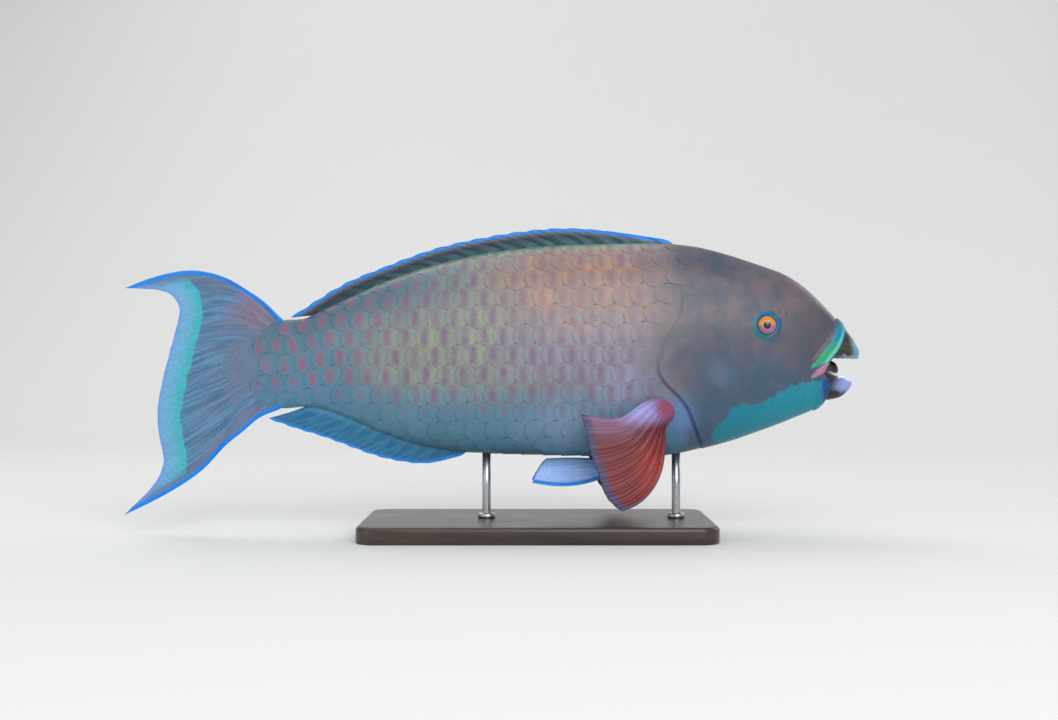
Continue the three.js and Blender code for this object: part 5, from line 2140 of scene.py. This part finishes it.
@dataclass
class Stand:
    """A flat base with rounded edges and two short rods, each in a small collar."""

    body: BodyForm
    length: float = 212.0
    width: float = 112.0
    height: float = 10.0
    corner: float = 12.0
    round_edge: float = 2.2
    centre_x: float = 28.0
    rod_radius: float = 2.6
    rods: tuple[tuple[str, float], ...] = (("front", 113.0), ("rear", -3.0))
    into_belly: float = 0.9
    collar_radius: float = 5.4
    collar_height: float = 3.2
    gap: float = 0.05
    sides: int = 64

    def outline(self, inset: float) -> Array:
        """Draw the base's outline, moved in.

        Args:
            inset: how far it is moved in.

        Returns:
            Its points round the base's middle, as x and y.
        """
        points = []
        radius = self.corner - inset
        for quarter, (sx, sy) in enumerate(((1, 1), (-1, 1), (-1, -1), (1, -1))):
            cx = sx * (self.length / 2 - self.corner)
            cy = sy * (self.width / 2 - self.corner)
            for turn in np.linspace(0, np.pi / 2, 13) + quarter * np.pi / 2:
                points.append((cx + radius * math.cos(turn), cy + radius * math.sin(turn)))
        return np.array(points)

    def base(self) -> Piece:
        """Make the base, rounded along its upper edge and eased along its lower one.

        Returns:
            The base.
        """
        edge = self.round_edge
        levels = [(1.0, 0.0), (0.3, 0.3), (0.0, 1.0)]
        for turn in np.linspace(0, np.pi / 2, 7):
            levels.append((edge * (1 - math.cos(turn)), self.height - edge + edge * math.sin(turn)))
        levels.append((self.corner * 0.5, self.height))
        rings = []
        for inset, z in levels:
            flat = self.outline(inset)
            rings.append(np.column_stack([flat[:, 0] + self.centre_x, flat[:, 1], np.full(len(flat), z)]))
        count = len(rings[0])
        faces = grid_faces(len(rings), count, closed=True).tolist()
        faces.append(list(range(count))[::-1])
        faces.append([(len(rings) - 1) * count + i for i in range(count)])
        base = mesh_object("wooden_base", np.array(rings), faces)
        for flat_face in base.data.polygons[-2:]:
            flat_face.use_smooth = False
        base.data.materials.append(StainedWood().material())
        return base

    def rod(self, name: str, x: float) -> Piece:
        """Make a rod with its collar, from the base up into the belly.

        Args:
            name: which rod it is.
            x: its place along the base.

        Returns:
            The rod.
        """
        keel = float(np.interp(x, *self.body.keel))
        tip = keel + self.into_belly
        low = self.height + self.gap
        r, c, h = self.rod_radius, self.collar_radius, self.collar_height
        profile = (
            (c - 0.4, low), (c, low + 0.4), (c, low + h - 0.9), (c - 0.9, low + h), (r + 0.2, low + h),
            (r, low + h - 0.2), (r, (low + keel) / 2), (r, tip),
        )
        turn = np.linspace(0, FULL_TURN, self.sides, endpoint=False)
        rings = [
            np.column_stack([x + radius * np.cos(turn), radius * np.sin(turn), np.full(self.sides, z)])
            for radius, z in profile
        ]
        points = np.concatenate([*rings, [[x, 0, low], [x, 0, tip]]])
        rod = mesh_object(f"steel_rod_{name}", points, poled_faces(len(rings), self.sides))
        sharp_rings = (0, 4, 5)
        for edge in rod.data.edges:
            a, b = (v // self.sides for v in edge.vertices)
            edge.use_edge_sharp = a == b and a in sharp_rings
        rod.data.materials.append(BrushedSteel(f"brushed_steel_{name}").material())
        return rod


@dataclass
class Studio:
    """A pale floor that curves up behind the model, soft lights and the photo's camera, in metres.

    Each light has its name, place, size, watts and tint.
    """

    lens: float = 50.0
    sensor: float = 36.0
    floor_front: float = -2.4
    floor_back: float = 0.9
    wall_height: float = 2.4
    bend: float = 0.6
    half_width: float = 3.0
    heart: Triple = (0.0, 0.0, 0.1)
    cool: Triple = (0.93, 0.96, 1.0)
    white: Triple = (1.0, 1.0, 1.0)
    air_strength: float = 0.45
    lights: tuple[tuple[str, Triple, float, float, Triple], ...] = (
        ("key", (0.45, -1.5, 0.85), 1.2, 20.0, white),
        ("fill", (-1.4, -1.3, 0.4), 1.5, 8.0, cool),
        ("top", (-0.1, 0.15, 1.6), 1.3, 6.0, white),
        ("rim", (1.3, 0.9, 0.9), 0.8, 4.0, white),
        ("back", (-0.6, 0.75, 1.3), 1.0, 6.0, white),
    )

    def backdrop(self) -> None:
        """Lay the floor and the wall in one sheet."""
        profile = [(self.floor_front, 0.0)]
        for turn in np.linspace(0, np.pi / 2, 17):
            profile.append((self.floor_back + self.bend * math.sin(turn), self.bend * (1 - math.cos(turn))))
        profile.append((self.floor_back + self.bend, self.wall_height))
        points = [(x, y, z) for y, z in profile for x in (-self.half_width, self.half_width)]
        sheet = mesh_object("studio_backdrop", np.array(points) / MM, grid_faces(len(profile), 2)[:, ::-1])
        sheet.data.materials.append(StudioPaper().material())

    def light(self, name: str, place: Triple, size: float, watts: float, tint: Triple) -> None:
        """Hang a square soft light that faces the model.

        Args:
            name: its name.
            place: where it hangs.
            size: length of its side.
            watts: its power.
            tint: its colour.
        """
        data = bpy.data.lights.new(name, "AREA")
        data.shape = "SQUARE"
        data.size = size
        data.energy = watts
        data.color = tint
        lamp = bpy.data.objects.new(name, data)
        lamp.location = place
        lamp.rotation_euler = (Vector(self.heart) - Vector(place)).to_track_quat("-Z", "Y").to_euler()
        bpy.context.scene.collection.objects.link(lamp)

    def build(self) -> None:
        """Set up backdrop, lights, world and camera."""
        self.backdrop()
        for light in self.lights:
            self.light(*light)
        scene = bpy.context.scene
        world = bpy.data.worlds.new("studio_air")
        world.use_nodes = True
        air = world.node_tree.nodes["Background"].inputs
        air["Color"].default_value = (*self.cool, 1.0)
        air["Strength"].default_value = self.air_strength
        scene.world = world
        scene.view_settings.view_transform = "Standard"
        data = bpy.data.cameras.new("camera")
        data.lens = self.lens
        data.sensor_width = self.sensor
        camera = bpy.data.objects.new("camera", data)
        camera.location = (VIEW_X * MM, -VIEW_DISTANCE * MM, VIEW_Z * MM)
        camera.rotation_euler = (math.pi / 2, 0, 0)
        scene.collection.objects.link(camera)
        scene.camera = camera


def main() -> None:
    """Build the studio and every piece."""
    logging.basicConfig(level=logging.INFO, format="%(name)s: %(message)s")
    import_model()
    Studio().build()
    body, eye = BodyForm(), EyeForm()
    skin = Skin(body, eye).build()
    keep(skin, "skin_body", "head", "torso", "tail")
    keep(ScaleCoat(body).build(skin), "skin_body")
    for fin in fins():
        keep(fin.build(), fin.slot, fin.node)
    for plate in beak_plates():
        keep(plate.build(), plate.node, plate.node)
    keep(MouthFloor().build(), "skin_head")
    for name, side in SIDES:
        keep(EyeBall(eye, body, f"eye_ball_{name}", side).build(), "eye", f"eye_{name}")
    stand = Stand(body)
    keep(stand.base(), "stand_wood", "stand_base")
    for name, x in stand.rods:
        keep(stand.rod(name, x), "stand_steel", f"stand_rod_{name}")


if __name__ == "__main__":
    main()
